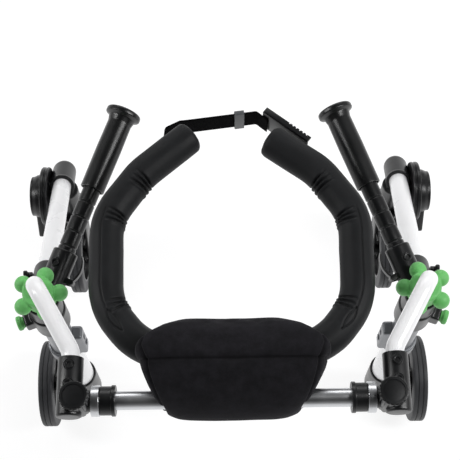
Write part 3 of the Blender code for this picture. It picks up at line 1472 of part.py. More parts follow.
def pull_pin(carrier):
    """The green knob and its plunger. The tip stands just clear of the tube until it is let in."""
    tip = FRAME_TUBE_RADIUS + SLIDE_GAP
    knob = PIN_BLOCK_REACH + RUNNING_GAP - tip
    end = knob + PIN_KNOB_LENGTH
    body = turned(
        [
            (0, end),
            (PIN_KNOB_RADIUS - WIDE_EDGE, end),
            (PIN_KNOB_RADIUS, end - WIDE_EDGE),
            (PIN_KNOB_RADIUS, end - 2 * WIDE_EDGE),
            (PIN_KNOB_RADIUS - PIN_KNOB_WAIST, knob + EDGE),
            (PIN_KNOB_RADIUS - PIN_KNOB_WAIST, knob),
            (PIN_RADIUS, knob),
            (PIN_RADIUS, FINE_EDGE),
            (PIN_RADIUS - FINE_EDGE, 0),
            (0, 0),
        ],
        ROUND_SIDES,
        upright(by_post(0, 0, PIN_HEIGHT) + PIN_WAY * tip, PIN_WAY),
    )
    return piece_of("right_pull_pin", "green_moulding", carrier, body)


# Front leg and caster

def front_leg_tube(leg):
    """The white tube that slopes down to the caster."""
    start = LEG_ROOT + LEG_WAY * LEG_START
    end = HEAD_MOUTH + LEG_WAY * LEG_ENTRY
    outer = cylinder(LEG_RADIUS, start, end, ROUND_SIDES)
    beyond = LEG_WAY * CUT_BEYOND
    inner = cylinder(LEG_RADIUS - LEG_WALL, start - beyond, end + beyond)
    return piece_of("right_front_leg_tube", "white_powder_coat", leg, outer, cut=[inner])


def caster_head(leg):
    """The moulded foot of the leg: a domed socket, a boss for the stem, and the lock disc."""
    top = HEAD_LENGTH
    socket = turned(
        [
            (0, top + HEAD_DOME),
            (HEAD_RADIUS * 0.5, top + HEAD_DOME * 0.87),
            (HEAD_RADIUS * 0.87, top + HEAD_DOME * 0.5),
            (HEAD_RADIUS, top),
            (HEAD_RADIUS, HEAD_LIP_LENGTH),
            (HEAD_RADIUS + HEAD_LIP, HEAD_LIP_LENGTH - FINE_EDGE),
            (HEAD_RADIUS + HEAD_LIP, 0),
            (0, 0),
        ],
        BIG_SIDES,
        upright(HEAD_MOUTH, LEG_WAY),
    )
    boss = cylinder(
        BOSS_RADIUS, STEM + UP * BOSS_FOOT, STEM + UP * (HEAD_MOUTH.z - HEAD_RADIUS * 0.6), BIG_SIDES,
    )
    centre = Vector((LOCK_DISC_X + LOCK_DISC_THICKNESS / 2, LOCK_CENTRE_Y, LOCK_DISC_HEIGHT))
    disc = ribbed_disc(
        LOCK_DISC_RADIUS, LOCK_DISC_RIB_DEPTH, LOCK_DISC_RIBS, LOCK_DISC_THICKNESS, upright(centre, OUT),
    )
    neck = cylinder(
        BOSS_RADIUS, (HEAD_MOUTH.x, LOCK_CENTRE_Y, LOCK_DISC_HEIGHT),
        (LOCK_DISC_X + LOCK_DISC_THICKNESS / 2, LOCK_CENTRE_Y, LOCK_DISC_HEIGHT), ROUND_SIDES,
    )
    stud = cylinder(
        LOCK_STUD_RADIUS, (LOCK_DISC_X, LOCK_CENTRE_Y, LOCK_DISC_HEIGHT),
        (LOCK_FACE_X + LOCK_STUD_LENGTH, LOCK_CENTRE_Y, LOCK_DISC_HEIGHT), SMALL_SIDES,
    )
    leg_bore = bore(
        LEG_RADIUS + SEAT_GAP, HEAD_MOUTH - LEG_WAY * HEAD_LENGTH,
        HEAD_MOUTH + LEG_WAY * (LEG_ENTRY + SEAT_GAP), ROUND_SIDES,
    )
    stem_bore = bore(
        STEM_RADIUS + SEAT_GAP, STEM + UP * (BOSS_FOOT - CUT_BEYOND), STEM + UP * (STEM_TOP + RUNNING_GAP),
    )
    return piece_of(
        "right_caster_head", "black_moulding", leg, socket,
        add=[boss, neck, disc, stud], cut=[leg_bore, stem_bore],
    )


def lock_lever(carrier):
    """The swivel lock: a domed cap with a long tail that swings on the lock disc's stud."""
    face = LOCK_FACE_X + RUNNING_GAP
    centre = Vector((face, LOCK_CENTRE_Y, LOCK_DISC_HEIGHT))
    dome = turned(
        [
            (0, DOME_DEPTH + DOME_CAP_DEPTH),
            (DOME_CAP_RADIUS - FINE_EDGE, DOME_DEPTH + DOME_CAP_DEPTH),
            (DOME_CAP_RADIUS, DOME_DEPTH + DOME_CAP_DEPTH - FINE_EDGE),
            (DOME_CAP_RADIUS, DOME_DEPTH),
            (DOME_CAP_RADIUS + SEAT_GAP, DOME_DEPTH - EDGE),
            (DOME_RADIUS - FINE_EDGE, DOME_DEPTH * 0.5),
            (DOME_RADIUS, EDGE),
            (DOME_RADIUS - SEAT_GAP, 0),
            (0, 0),
        ],
        BIG_SIDES,
        upright(centre, OUT),
    )
    way = Vector((0, -math.cos(TAIL_ANGLE), -math.sin(TAIL_ANGLE)))
    middle = centre + OUT * (TAIL_THICKNESS / 2 + TAIL_LIFT)
    tail = plate(
        link_outline(TAIL_LENGTH - TAIL_TIP_RADIUS, TAIL_ROOT_RADIUS, TAIL_TIP_RADIUS),
        TAIL_THICKNESS,
        frame_of(middle, way, OUT),
    )
    stud = bore(
        LOCK_STUD_RADIUS + SEAT_GAP, centre - OUT * CUT_BEYOND,
        centre + OUT * (LOCK_STUD_LENGTH + SEAT_GAP), SMALL_SIDES,
    )
    return piece_of("right_lock_lever", "black_moulding", carrier, dome, add=[tail], cut=[stud])


def wheel_under_stem():
    """The centre of the front wheel, which trails behind the stem."""
    return Vector((STEM.x, STEM.y - TRAIL, AXLE_HEIGHT))


def blade_offset():
    """How far each fork blade's middle lies from the wheel's middle plane."""
    return HUB_HALF_WIDTH + FORK_SIDE_GAP + BLADE_THICKNESS / 2


def caster_fork(carrier):
    """The fork: a stem, a round crown and two blades that carry the axle behind the stem."""
    crown_top = BOSS_FOOT - RUNNING_GAP
    crown_foot = crown_top - CROWN_THICKNESS
    crown = turned(
        [
            (0, STEM_TOP),
            (STEM_RADIUS - FINE_EDGE, STEM_TOP),
            (STEM_RADIUS, STEM_TOP - FINE_EDGE),
            (STEM_RADIUS, crown_top),
            (CROWN_RADIUS - CROWN_EDGE, crown_top),
            (CROWN_RADIUS, crown_top - CROWN_EDGE),
            (CROWN_RADIUS, crown_foot),
            (0, crown_foot),
        ],
        BIG_SIDES,
        Matrix.Translation(STEM),
    )
    top = Vector((STEM.x, STEM.y - BLADE_TOP_BEHIND, crown_top - BLADE_TOP_RADIUS))
    reach = wheel_under_stem() - top
    outline = link_outline(reach.length, BLADE_TOP_RADIUS, BLADE_FOOT_RADIUS)
    blades = []
    for side in (-1, 1):
        place = frame_of(top + OUT * (side * blade_offset()), reach, OUT)
        blades.append(plate(outline, BLADE_THICKNESS, place))
    across = OUT * (blade_offset() + BLADE_THICKNESS)
    hole = bore(
        FRONT_AXLE_RADIUS + SEAT_GAP, wheel_under_stem() - across, wheel_under_stem() + across, SMALL_SIDES,
    )
    return piece_of("right_caster_fork", "black_moulding", carrier, crown, add=blades, cut=[hole])


def front_axle(carrier):
    """The front axle, a bolt with a round head at each end."""
    reach = blade_offset() + BLADE_THICKNESS / 2 + SEAT_GAP
    end = reach + FRONT_AXLE_HEAD_LENGTH
    profile = [
        (0, end),
        (FRONT_AXLE_HEAD_RADIUS * 0.7, end),
        (FRONT_AXLE_HEAD_RADIUS, end - FRONT_AXLE_HEAD_LENGTH * 0.5),
        (FRONT_AXLE_HEAD_RADIUS, reach),
        (FRONT_AXLE_RADIUS, reach),
        (FRONT_AXLE_RADIUS, -reach),
        (FRONT_AXLE_HEAD_RADIUS, -reach),
        (FRONT_AXLE_HEAD_RADIUS, -end + FRONT_AXLE_HEAD_LENGTH * 0.5),
        (FRONT_AXLE_HEAD_RADIUS * 0.7, -end),
        (0, -end),
    ]
    bolt = turned(profile, 12, upright(wheel_under_stem(), OUT))
    return piece_of("right_front_axle", "bright_steel", carrier, bolt)


# Handles

def handle_point(distance, inward=0.0, upward=0.0):
    """A point by the handle's centreline, at a distance from the post's axis."""
    return HANDLE_ROOT + HANDLE_WAY * distance + HANDLE_IN * inward + HANDLE_UP * upward


def handle_bracket(carrier):
    """The bracket that turns on the spigot, with the sleeve for the handle rod and the trigger's ears."""
    collar = turned(
        [
            (0, BRACKET_HEIGHT),
            (BRACKET_RADIUS - EDGE, BRACKET_HEIGHT),
            (BRACKET_RADIUS, BRACKET_HEIGHT - EDGE),
            (BRACKET_RADIUS, EDGE),
            (BRACKET_RADIUS - EDGE, 0),
            (0, 0),
        ],
        BIG_SIDES,
        Matrix.Translation(by_post(0, 0, HOUSING_TOP + SEAT_GAP)),
    )
    sleeve = turned(
        [
            (0, HANDLE_SLEEVE_END),
            (HANDLE_SLEEVE_RADIUS - EDGE, HANDLE_SLEEVE_END),
            (HANDLE_SLEEVE_RADIUS, HANDLE_SLEEVE_END - EDGE),
            (HANDLE_SLEEVE_RADIUS, BRACKET_RADIUS * 0.4),
            (0, BRACKET_RADIUS * 0.4),
        ],
        BIG_SIDES,
        upright(HANDLE_ROOT, HANDLE_WAY),
    )
    bolt_top = HANDLE_SLEEVE_RADIUS + HANDLE_BOLT_PROUD
    bolt_foot = HANDLE_SLEEVE_RADIUS - HANDLE_BOLT_SUNK
    bolt = cylinder(
        HANDLE_BOLT_RADIUS, handle_point(HANDLE_BOLT_ALONG, -HANDLE_BOLT_OUT, bolt_foot),
        handle_point(HANDLE_BOLT_ALONG, -HANDLE_BOLT_OUT, bolt_top),
    )
    ears = [trigger_ear(side) for side in (-1, 1)]
    pin_reach = TRIGGER_HEIGHT / 2 + RUNNING_GAP + TRIGGER_EAR_THICKNESS / 2
    pin = cylinder(
        TRIGGER_PIN_RADIUS, handle_point(TRIGGER_PIVOT_ALONG, TRIGGER_PIVOT_OFF, -pin_reach),
        handle_point(TRIGGER_PIVOT_ALONG, TRIGGER_PIVOT_OFF, pin_reach), SMALL_SIDES,
    )
    post_bore = bore(
        SPIGOT_RADIUS + SEAT_GAP, by_post(0, 0, HOUSING_TOP - CUT_BEYOND),
        by_post(0, 0, HOUSING_TOP + BRACKET_HEIGHT + CUT_BEYOND), BIG_SIDES,
    )
    rod_bore = bore(
        ROD_RADIUS + SEAT_GAP, handle_point(HANDLE_BORE_START), handle_point(HANDLE_SLEEVE_END + CUT_BEYOND),
    )
    return piece_of(
        "right_handle_bracket", "black_moulding", carrier, collar,
        add=[sleeve, bolt, *ears, pin], cut=[post_bore, rod_bore],
    )


def trigger_ear(side):
    """One ear of the bracket, above or below the trigger's barrel."""
    lift = side * (TRIGGER_HEIGHT / 2 + RUNNING_GAP + TRIGGER_EAR_THICKNESS / 2)
    root = handle_point(TRIGGER_PIVOT_ALONG, HANDLE_SLEEVE_RADIUS * 0.7, lift)
    reach = TRIGGER_PIVOT_OFF - HANDLE_SLEEVE_RADIUS * 0.7
    outline = link_outline(reach, TRIGGER_BARREL_RADIUS + FINE_EDGE, TRIGGER_BARREL_RADIUS)
    return plate(outline, TRIGGER_EAR_THICKNESS, frame_of(root, HANDLE_IN, HANDLE_UP))


def trigger(carrier):
    """The release lever at the sleeve's inner side, bowed away from it."""
    low = handle_point(TRIGGER_PIVOT_ALONG, TRIGGER_PIVOT_OFF, -TRIGGER_HEIGHT / 2)
    high = handle_point(TRIGGER_PIVOT_ALONG, TRIGGER_PIVOT_OFF, TRIGGER_HEIGHT / 2)
    barrel = cylinder(TRIGGER_BARREL_RADIUS, low, high, ROUND_SIDES)
    steps = 8
    path = []
    for index in range(steps + 1):
        share = index / steps
        bow = TRIGGER_BOW * math.sin(math.pi * share)
        path.append(Vector((TRIGGER_LENGTH * share, bow, 0)))
    outline = offset_outline(path, TRIGGER_THICKNESS / 2)
    place = frame_of(handle_point(TRIGGER_PIVOT_ALONG, TRIGGER_PIVOT_OFF), HANDLE_WAY, HANDLE_UP)
    blade = plate(outline, TRIGGER_HEIGHT, place)
    hole = bore(
        TRIGGER_PIN_RADIUS + SEAT_GAP,
        handle_point(TRIGGER_PIVOT_ALONG, TRIGGER_PIVOT_OFF, -TRIGGER_HEIGHT),
        handle_point(TRIGGER_PIVOT_ALONG, TRIGGER_PIVOT_OFF, TRIGGER_HEIGHT),
        SMALL_SIDES,
    )
    return piece_of("right_trigger", "black_moulding", carrier, barrel, add=[blade], cut=[hole])


def handle_rod(carrier):
    """The black rod of the handle, with a row of V grooves for its stops."""
    length = GRIP_START + GRIP_LENGTH - GRIP_END_WALL - SEAT_GAP - ROD_START
    profile = [(0, length), (ROD_RADIUS - FINE_EDGE, length), (ROD_RADIUS, length - FINE_EDGE)]
    half = ROD_GROOVE_DEPTH * 1.3
    for index in reversed(range(ROD_GROOVES)):
        middle = ROD_FIRST_GROOVE - ROD_START + index * ROD_GROOVE_PITCH
        profile.append((ROD_RADIUS, middle + half))
        profile.append((ROD_RADIUS - ROD_GROOVE_DEPTH, middle))
        profile.append((ROD_RADIUS, middle - half))
    profile += [(ROD_RADIUS, FINE_EDGE), (ROD_RADIUS - FINE_EDGE, 0), (0, 0)]
    rod = turned(profile, SMALL_SIDES + 2, upright(handle_point(ROD_START), HANDLE_WAY))
    return piece_of("right_handle_rod", "black_moulding", carrier, rod)


def grip(carrier):
    """The rubber grip, which flares into a round flange at its front end."""
    end = GRIP_LENGTH
    flange = end - FLANGE_THICKNESS
    body = turned(
        [
            (0, end),
            (FLANGE_RADIUS - WIDE_EDGE, end),
            (FLANGE_RADIUS, end - WIDE_EDGE),
            (FLANGE_RADIUS, flange + EDGE),
            (FLANGE_RADIUS - EDGE, flange),
            (GRIP_RADIUS + EDGE, flange - FLARE_LENGTH / 3),
            (GRIP_RADIUS, flange - FLARE_LENGTH),
            (GRIP_RADIUS + GRIP_SWELL, end * 0.5),
            (GRIP_RADIUS, 2 * EDGE),
            (GRIP_RADIUS - EDGE, 0),
            (0, 0),
        ],
        ROUND_SIDES,
        upright(handle_point(GRIP_START), HANDLE_WAY),
    )
    hole = bore(
        ROD_RADIUS + SEAT_GAP, handle_point(GRIP_START - CUT_BEYOND),
        handle_point(GRIP_START + GRIP_LENGTH - GRIP_END_WALL), ROUND_SIDES,
    )
    return piece_of("right_grip", "black_rubber", carrier, body, cut=[hole])


def star_nut(carrier):
    """The five-armed nut that holds the handle bracket down on the spigot."""
    hub_body = turned(
        [
            (0, STAR_TOP),
            (STAR_HUB_RADIUS - WIDE_EDGE, STAR_TOP),
            (STAR_HUB_RADIUS, STAR_TOP - WIDE_EDGE),
            (STAR_HUB_RADIUS, STAR_FOOT + FINE_EDGE),
            (STAR_HUB_RADIUS - FINE_EDGE, STAR_FOOT),
            (0, STAR_FOOT),
        ],
        BIG_SIDES,
        Matrix.Translation(by_post(0, 0, 0)),
    )
    arms = []
    for index in range(STAR_ARMS):
        angle = STAR_FIRST_ANGLE + 2 * math.pi * index / STAR_ARMS
        arms.append(star_arm(Vector((math.cos(angle), math.sin(angle), 0))))
    thread = bore(
        SPIGOT_RADIUS + SEAT_GAP, by_post(0, 0, STAR_FOOT - CUT_BEYOND),
        by_post(0, 0, SPIGOT_TOP + SEAT_GAP), BIG_SIDES,
    )
    tube = bore(
        FRAME_TUBE_RADIUS + RUNNING_GAP, by_post(0, 0, STAR_FOOT), by_post(0, 0, STAR_TOP + CUT_BEYOND),
    )
    return piece_of(
        "right_star_nut", "green_moulding", carrier, hub_body, add=arms, cut=[thread, tube],
    )


def star_arm(way):
    """One arm of the star nut, which ends in a ball."""
    radius = STAR_BALL_RADIUS
    profile = [(0, STAR_BALL_PITCH + radius)]
    for angle in (40, 80, 130):
        reach = math.radians(angle)
        profile.append((radius * math.sin(reach), STAR_BALL_PITCH + radius * math.cos(reach)))
    profile += [(STAR_ARM_RADIUS, SPIGOT_RADIUS * 0.9), (0, SPIGOT_RADIUS * 0.9)]
    return turned(profile, 8, upright(by_post(0, 0, STAR_ARM_HEIGHT), way))


# Assembly

def upper_frame():
    """Everything that the user leans on, with the tubes that carry it."""
    frame = holder("upper_frame", Vector((0, 0, 0)))
    for build in (side_tube, corner_fitting, crossbar_collar, ring_pad):
        left_twin(build(frame), frame)
    for build in (rear_crossbar, ring_core, back_pad, pad_clamp, front_strap, strap_keeper, buckle_body):
        build(frame)
    buckle_lever(holder("buckle_lever_pivot", lever_pivot().translation, frame))
    return frame


def mirrored(point):
    """The same point on the left side."""
    return Vector((-point.x, point.y, point.z))


def both_holders(name, point, parents):
    """A pair of empties, one on each side."""
    pair = []
    for side, spot, parent in zip(("right", "left"), (point, mirrored(point)), parents):
        pair.append(holder(f"{side}_{name}", spot, parent))
    return pair


def both(build, carriers, *values):
    """Model a piece on the right, and its twin on the left."""
    left_twin(build(carriers[0], *values), carriers[1])


def legs(frame):
    """The posts, front legs and wheels."""
    pair = both_holders("leg", by_post(0, 0, HOUSING_FOOT), (frame, frame))
    for build in (column_tube, outer_post, post_collar, rear_carrier, rear_axle):
        both(build, pair)
    for build in (leg_housing, front_leg_tube, caster_head):
        both(build, pair)
    rear = by_post(rear_wheel_out(), 0, AXLE_HEIGHT)
    wheels = both_holders("rear_wheel", rear, pair)
    both(lambda carrier: tyre("right_rear_tyre", carrier, rear), wheels)
    both(lambda carrier: hub("right_rear_hub", carrier, rear, REAR_AXLE_RADIUS), wheels)
    casters = both_holders("caster", STEM + UP * BOSS_FOOT, pair)
    both(caster_fork, casters)
    both(front_axle, casters)
    front = wheel_under_stem()
    wheels = both_holders("front_wheel", front, casters)
    both(lambda carrier: tyre("right_front_tyre", carrier, front), wheels)
    both(lambda carrier: hub("right_front_hub", carrier, front, FRONT_AXLE_RADIUS), wheels)
    return pair


def controls(pair):
    """The pieces that a hand moves: pins, knobs, locks and handles."""
    pin = by_post(0, 0, PIN_HEIGHT)
    both(pull_pin, both_holders("pin_axis", pin, pair))
    both(wing_knob, both_holders("wing_axis", wing_place(LUG_RADIUS), pair))
    lock = Vector((LOCK_FACE_X, LOCK_CENTRE_Y, LOCK_DISC_HEIGHT))
    both(lock_lever, both_holders("lock_axis", lock, pair))
    both(star_nut, both_holders("star_axis", by_post(0, 0, STAR_ARM_HEIGHT), pair))
    turns = both_holders("handle_turn", HANDLE_ROOT, pair)
    both(handle_bracket, turns)
    both(trigger, both_holders("trigger_pivot", handle_point(TRIGGER_PIVOT_ALONG, TRIGGER_PIVOT_OFF), turns))
    slides = both_holders("handle_slide", handle_point(ROD_START), turns)
    both(handle_rod, slides)
    both(grip, slides)


def main():
    """Build the whole gait trainer."""
    frame = upper_frame()
    pair = legs(frame)
    controls(pair)


main()
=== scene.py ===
"""Looks of a posterior gait trainer: finishes, moulded and padded pieces, studio and camera."""

import json
import logging
import math
from collections.abc import Sequence
from dataclasses import dataclass
from enum import Enum

import bmesh
import bpy
import numpy as np
from mathutils import Matrix, Vector, noise

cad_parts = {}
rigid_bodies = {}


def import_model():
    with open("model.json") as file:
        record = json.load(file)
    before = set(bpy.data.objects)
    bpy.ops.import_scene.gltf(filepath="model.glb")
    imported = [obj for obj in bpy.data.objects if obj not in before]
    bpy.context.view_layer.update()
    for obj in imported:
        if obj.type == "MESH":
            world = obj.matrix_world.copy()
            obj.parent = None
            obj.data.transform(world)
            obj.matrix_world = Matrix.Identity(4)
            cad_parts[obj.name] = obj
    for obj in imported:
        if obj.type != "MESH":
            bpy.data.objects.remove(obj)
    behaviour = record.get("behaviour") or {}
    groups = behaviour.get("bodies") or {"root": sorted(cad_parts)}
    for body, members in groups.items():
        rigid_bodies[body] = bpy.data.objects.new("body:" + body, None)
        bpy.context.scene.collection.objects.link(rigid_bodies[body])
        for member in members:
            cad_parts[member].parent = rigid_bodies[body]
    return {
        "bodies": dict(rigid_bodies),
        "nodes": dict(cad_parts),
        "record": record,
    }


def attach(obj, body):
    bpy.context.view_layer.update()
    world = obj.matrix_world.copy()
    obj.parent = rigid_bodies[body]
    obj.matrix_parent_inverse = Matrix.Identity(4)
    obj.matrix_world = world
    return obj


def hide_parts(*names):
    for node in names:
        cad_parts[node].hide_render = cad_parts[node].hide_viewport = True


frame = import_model()

Shape = bmesh.types.BMesh
Socket = bpy.types.NodeSocket
Colour = tuple[float, float, float, float] | Socket
log = logging.getLogger("gait_trainer")

UP = Vector((0, 0, 1))
OUT = Vector((1, 0, 0))
AHEAD = Vector((0, 1, 0))
# Pieces that come in pairs are drawn on the right side. POST is the foot of the post's axis and
# LEG_ROOT the start of the front leg's. The others are ways: down the leg, out from it, and out
# along the pull pin.
POST = Vector((0.270, -0.0918, 0))
LEG_ROOT = Vector((0.283, -0.0668, 0.487))
LEG_WAY = Vector((0.04244, 0.79642, -0.60325)).normalized()
LEG_OUT = Vector((0.9991, -0.03383, 0.02562)).normalized()
PIN_WAY = Vector((0.93969, -0.34202, 0)).normalized()
WHEEL_RADIUS = 0.07751
MM = 0.001
# The room between a piece and the one that it is seated in.
SEAT_GAP = 0.0003
# How hard, and for how many frames, the filling swells a padded cover.
FILLING_PRESSURE = 4.0
FILLING_FRAMES = 20


# Colours and nodes

def srgb(code: str) -> tuple[float, float, float, float]:
    """Turns an sRGB hex colour into the linear one that a shader takes.

    Args:
        code: The colour as "#rrggbb".

    Returns:
        Linear red, green and blue, and full opacity.
    """
    parts = [int(code[place:place + 2], 16) / 255 for place in (1, 3, 5)]
    linear = [p / 12.92 if p <= 0.04045 else ((p + 0.055) / 1.055) ** 2.4 for p in parts]
    return (linear[0], linear[1], linear[2], 1.0)


def add(tree: bpy.types.NodeTree, kind: str, settings: dict | None = None,
        inputs: dict | None = None) -> bpy.types.Node:
    """Adds a node with its settings, values and links.

    Args:
        tree: The node tree it goes into.
        kind: The node's type name.
        settings: Properties of the node.
        inputs: What each input takes, a value or another node's output.

    Returns:
        The new node.
    """
    node = tree.nodes.new(kind)
    for name, value in (settings or {}).items():
        setattr(node, name, value)
    for key, value in (inputs or {}).items():
        if isinstance(value, Socket):
            tree.links.new(value, node.inputs[key])
        else:
            node.inputs[key].default_value = value
    return node


def fresh_tree(owner: bpy.types.Material | bpy.types.World) -> bpy.types.NodeTree:
    """Turns on the nodes of a material or world and clears them.

    Args:
        owner: The material or the world.

    Returns:
        Its empty node tree.
    """
    owner.use_nodes = True
    owner.node_tree.nodes.clear()
    return owner.node_tree


def clouds(tree: bpy.types.NodeTree, vector: Socket, scale: float, detail: float,
           roughness: float = 0.5) -> Socket:
    """Adds noise, and gives its height from 0 to 1."""
    inputs = {"Vector": vector, "Scale": scale, "Detail": detail, "Roughness": roughness}
    return add(tree, "ShaderNodeTexNoise", None, inputs).outputs["Fac"]


def bands(tree: bpy.types.NodeTree, way: str, scale: float, distortion: float,
          detail: float) -> Socket:
    """Adds soft bands on a piece's cloth, across its length for "X" and along it for "Y".

    Args:
        tree: The material's node tree.
        way: The coordinate that the bands follow one another in.
        scale: How close they are.
        distortion: How far they stray.
        detail: How fine their straying is.

    Returns:
        Their height from 0 to 1.
    """
    cloth = add(tree, "ShaderNodeAttribute", {"attribute_name": "cloth"}).outputs["Vector"]
    return add(tree, "ShaderNodeTexWave", {"bands_direction": way, "wave_profile": "SIN"}, {
        "Vector": cloth, "Scale": scale, "Distortion": distortion, "Detail": detail,
        "Detail Scale": detail,
    }).outputs["Fac"]


def ranged(tree: bpy.types.NodeTree, value: Socket, spans: tuple[float, ...],
           kind: str = "LINEAR") -> Socket:
    """Adds a node that maps one span of a value to another.

    Args:
        tree: The node tree.
        value: The value.
        spans: The first span's ends and the second span's.
        kind: The interpolation.

    Returns:
        The mapped value.
    """
    ends = zip(("From Min", "From Max", "To Min", "To Max"), spans)
    return add(tree, "ShaderNodeMapRange", {"interpolation_type": kind}, {
        "Value": value, **dict(ends),
    }).outputs["Result"]


def mixed(tree: bpy.types.NodeTree, factor: Socket, first: Colour, second: Colour) -> Socket:
    """Adds a node that mixes two colours, and gives what it makes."""
    inputs = {"Factor": factor, "A": first, "B": second}
    return add(tree, "ShaderNodeMix", {"data_type": "RGBA"}, inputs).outputs["Result"]


class Surface(Enum):
    """How a surface was made, which decides its relief."""

    POWDER = "sprayed and baked powder"
    MOULDED = "moulded against an etched tool"
    RUBBER = "moulded rubber"
    BRUSHED = "brushed metal"
    KNIT = "stretch knit over foam"
    NAP = "napped suede cloth"
    WEBBING = "woven webbing"


@dataclass(frozen=True)
class Finish:
    """One real finish: its colours in sRGB hex, gloss, and relief in real millimetres."""

    name: str
    slot: str
    surface: Surface
    shade: str
    deep: str
    roughness: tuple[float, float]
    pitch_mm: float
    relief_mm: float
    patch_mm: float = 45.0
    metallic: float = 0.0
    sheen: float = 0.0
    sheen_shade: str = "#ffffff"
    coat: float = 0.0
    specular: float = 0.5
    brushed_along: tuple[float, float, float] = (1.0, 1.0, 1.0)

    def material(self) -> bpy.types.Material:
        """Makes the node material, or gives the one already made.

        Returns:
            The material for this finish.
        """
        known = bpy.data.materials.get(self.name)
        if known:
            return known
        material = bpy.data.materials.new(self.name)
        tree = fresh_tree(material)
        coords = add(tree, "ShaderNodeTexCoord").outputs["Object"]
        patches = clouds(tree, coords, 1000 / self.patch_mm, 4.0, 0.6)
        height = self.relief(tree, coords)
        blend = ranged(tree, patches, (0.35, 0.65, 0.0, 0.5))
        mottled = add(tree, "ShaderNodeMath", {"operation": "MULTIPLY_ADD", "use_clamp": True}, {
            0: height, 1: 0.5, 2: blend,
        }).outputs[0]
        colour = mixed(tree, mottled, srgb(self.deep), srgb(self.shade))
        # Painted shade: knit and suede covers are darkened towards near black where the seam
        # attribute marks the pressed seams and folds, as if shade gathered in those hollows.
        if self.surface in (Surface.KNIT, Surface.NAP):
            seam = add(tree, "ShaderNodeAttribute", {"attribute_name": "seam"}).outputs["Fac"]
            colour = mixed(tree, seam, colour, srgb("#030303"))
        bump = add(tree, "ShaderNodeBump", None, {
            "Height": height, "Strength": 1.0, "Distance": self.relief_mm * MM,
        }).outputs["Normal"]
        shader = add(tree, "ShaderNodeBsdfPrincipled", None, {
            "Base Color": colour, "Normal": bump, "Metallic": self.metallic,
            "Roughness": ranged(tree, patches, (0.3, 0.7, *self.roughness)),
            "Specular IOR Level": self.specular, "Coat Weight": self.coat,
            "Coat Roughness": 0.12, "Sheen Weight": self.sheen, "Sheen Roughness": 0.45,
            "Sheen Tint": srgb(self.sheen_shade),
        }).outputs["BSDF"]
        add(tree, "ShaderNodeOutputMaterial", None, {"Surface": shader})
        return material

    def relief(self, tree: bpy.types.NodeTree, coords: Socket) -> Socket:
        """Adds the nodes that draw the surface's height.

        Args:
            tree: The material's node tree.
            coords: The object coordinates, in metres.

        Returns:
            The height from 0 to 1.
        """
        scale = 1000 / self.pitch_mm
        if self.surface is Surface.WEBBING:
            ribs = bands(tree, "Y", scale / 3, 0.3, 1.0)
            picks = bands(tree, "X", scale / 2, 0.3, 1.0)
            woven = add(tree, "ShaderNodeMath", {"operation": "MULTIPLY"}, {0: ribs, 1: picks})
            return woven.outputs[0]
        if self.surface is Surface.KNIT:
            wales = bands(tree, "Y", scale / 3, 1.2, 2.0)
            fibres = clouds(tree, coords, scale, 3.0)
            return add(tree, "ShaderNodeMath", {"operation": "MULTIPLY_ADD"}, {
                0: wales, 1: 0.4, 2: fibres,
            }).outputs[0]
        if self.surface is Surface.BRUSHED:
            lines = add(tree, "ShaderNodeMapping", None, {
                "Vector": coords, "Scale": self.brushed_along,
            }).outputs["Vector"]
            return clouds(tree, lines, scale, 2.0)
        if self.surface is Surface.MOULDED:
            return add(tree, "ShaderNodeTexVoronoi", {"feature": "SMOOTH_F1"}, {
                "Vector": coords, "Scale": scale, "Smoothness": 0.6,
            }).outputs["Distance"]
        return clouds(tree, coords, scale, 5.0 if self.surface is Surface.NAP else 1.5, 0.6)


# Polyester powder coat on steel tube: bright white under a gloss skin, with a faint orange peel
# of about 2 mm.
WHITE_COAT = Finish(
    "polyester_powder_coat_white_baked", "white_powder_coat", Surface.POWDER, "#f8f8f9", "#f4f4f6",
    (0.26, 0.30), 2.2, 0.004, coat=0.4,
)
# Polyester powder coat with metal flake: a mid grey, half gloss.
GREY_COAT = Finish(
    "polyester_powder_coat_grey_baked", "grey_powder_coat", Surface.POWDER, "#7d7f83", "#6d6f73",
    (0.30, 0.40), 1.2, 0.02, metallic=0.45,
)
# Glass-filled nylon from an etched tool: near black, satin. Its grain is finer than 1 mm, and is
# drawn at 0.9 mm.
BLACK_NYLON = Finish(
    "nylon_moulded_satin_black", "black_moulding", Surface.MOULDED, "#141517", "#0c0d0e",
    (0.28, 0.38), 0.9, 0.030, specular=0.45,
)
# Vulcanised rubber grip from a smooth tool: black with a soft, wide shine.
BLACK_RUBBER = Finish(
    "rubber_vulcanised_black_grip", "black_rubber", Surface.RUBBER, "#111213", "#0b0c0d",
    (0.28, 0.36), 1.4, 0.02,
)
# Thermoplastic rubber tread: dark grey, dusty, nearly matt.
TYRE_RUBBER = Finish(
    "thermoplastic_rubber_tyre_grey", "grey_tyre", Surface.RUBBER, "#38393c", "#28292b",
    (0.45, 0.60), 1.8, 0.05,
)
# Thermoplastic elastomer over nylon: matt leaf green with a soft velvet edge.
GREEN_SOFT = Finish(
    "elastomer_overmoulded_green", "green_moulding", Surface.MOULDED, "#6fc36c", "#5fb35e",
    (0.50, 0.60), 1.0, 0.02, sheen=0.2, sheen_shade="#d8f5cf",
)
# Aluminium tube brushed along its length: bright lines that run with the tube.
ALUMINIUM = Finish(
    "aluminium_brushed_lengthwise", "brushed_aluminium", Surface.BRUSHED, "#d6d7d9", "#bfc1c4",
    (0.26, 0.36), 0.6, 0.01, metallic=1.0, brushed_along=(0.03, 1.0, 1.0),
)
# Zinc-plated steel, turned and rolled: small bright parts.
STEEL = Finish(
    "steel_zinc_plated", "bright_steel", Surface.BRUSHED, "#c9cacc", "#aeb0b3",
    (0.22, 0.32), 0.5, 0.01, metallic=1.0,
)
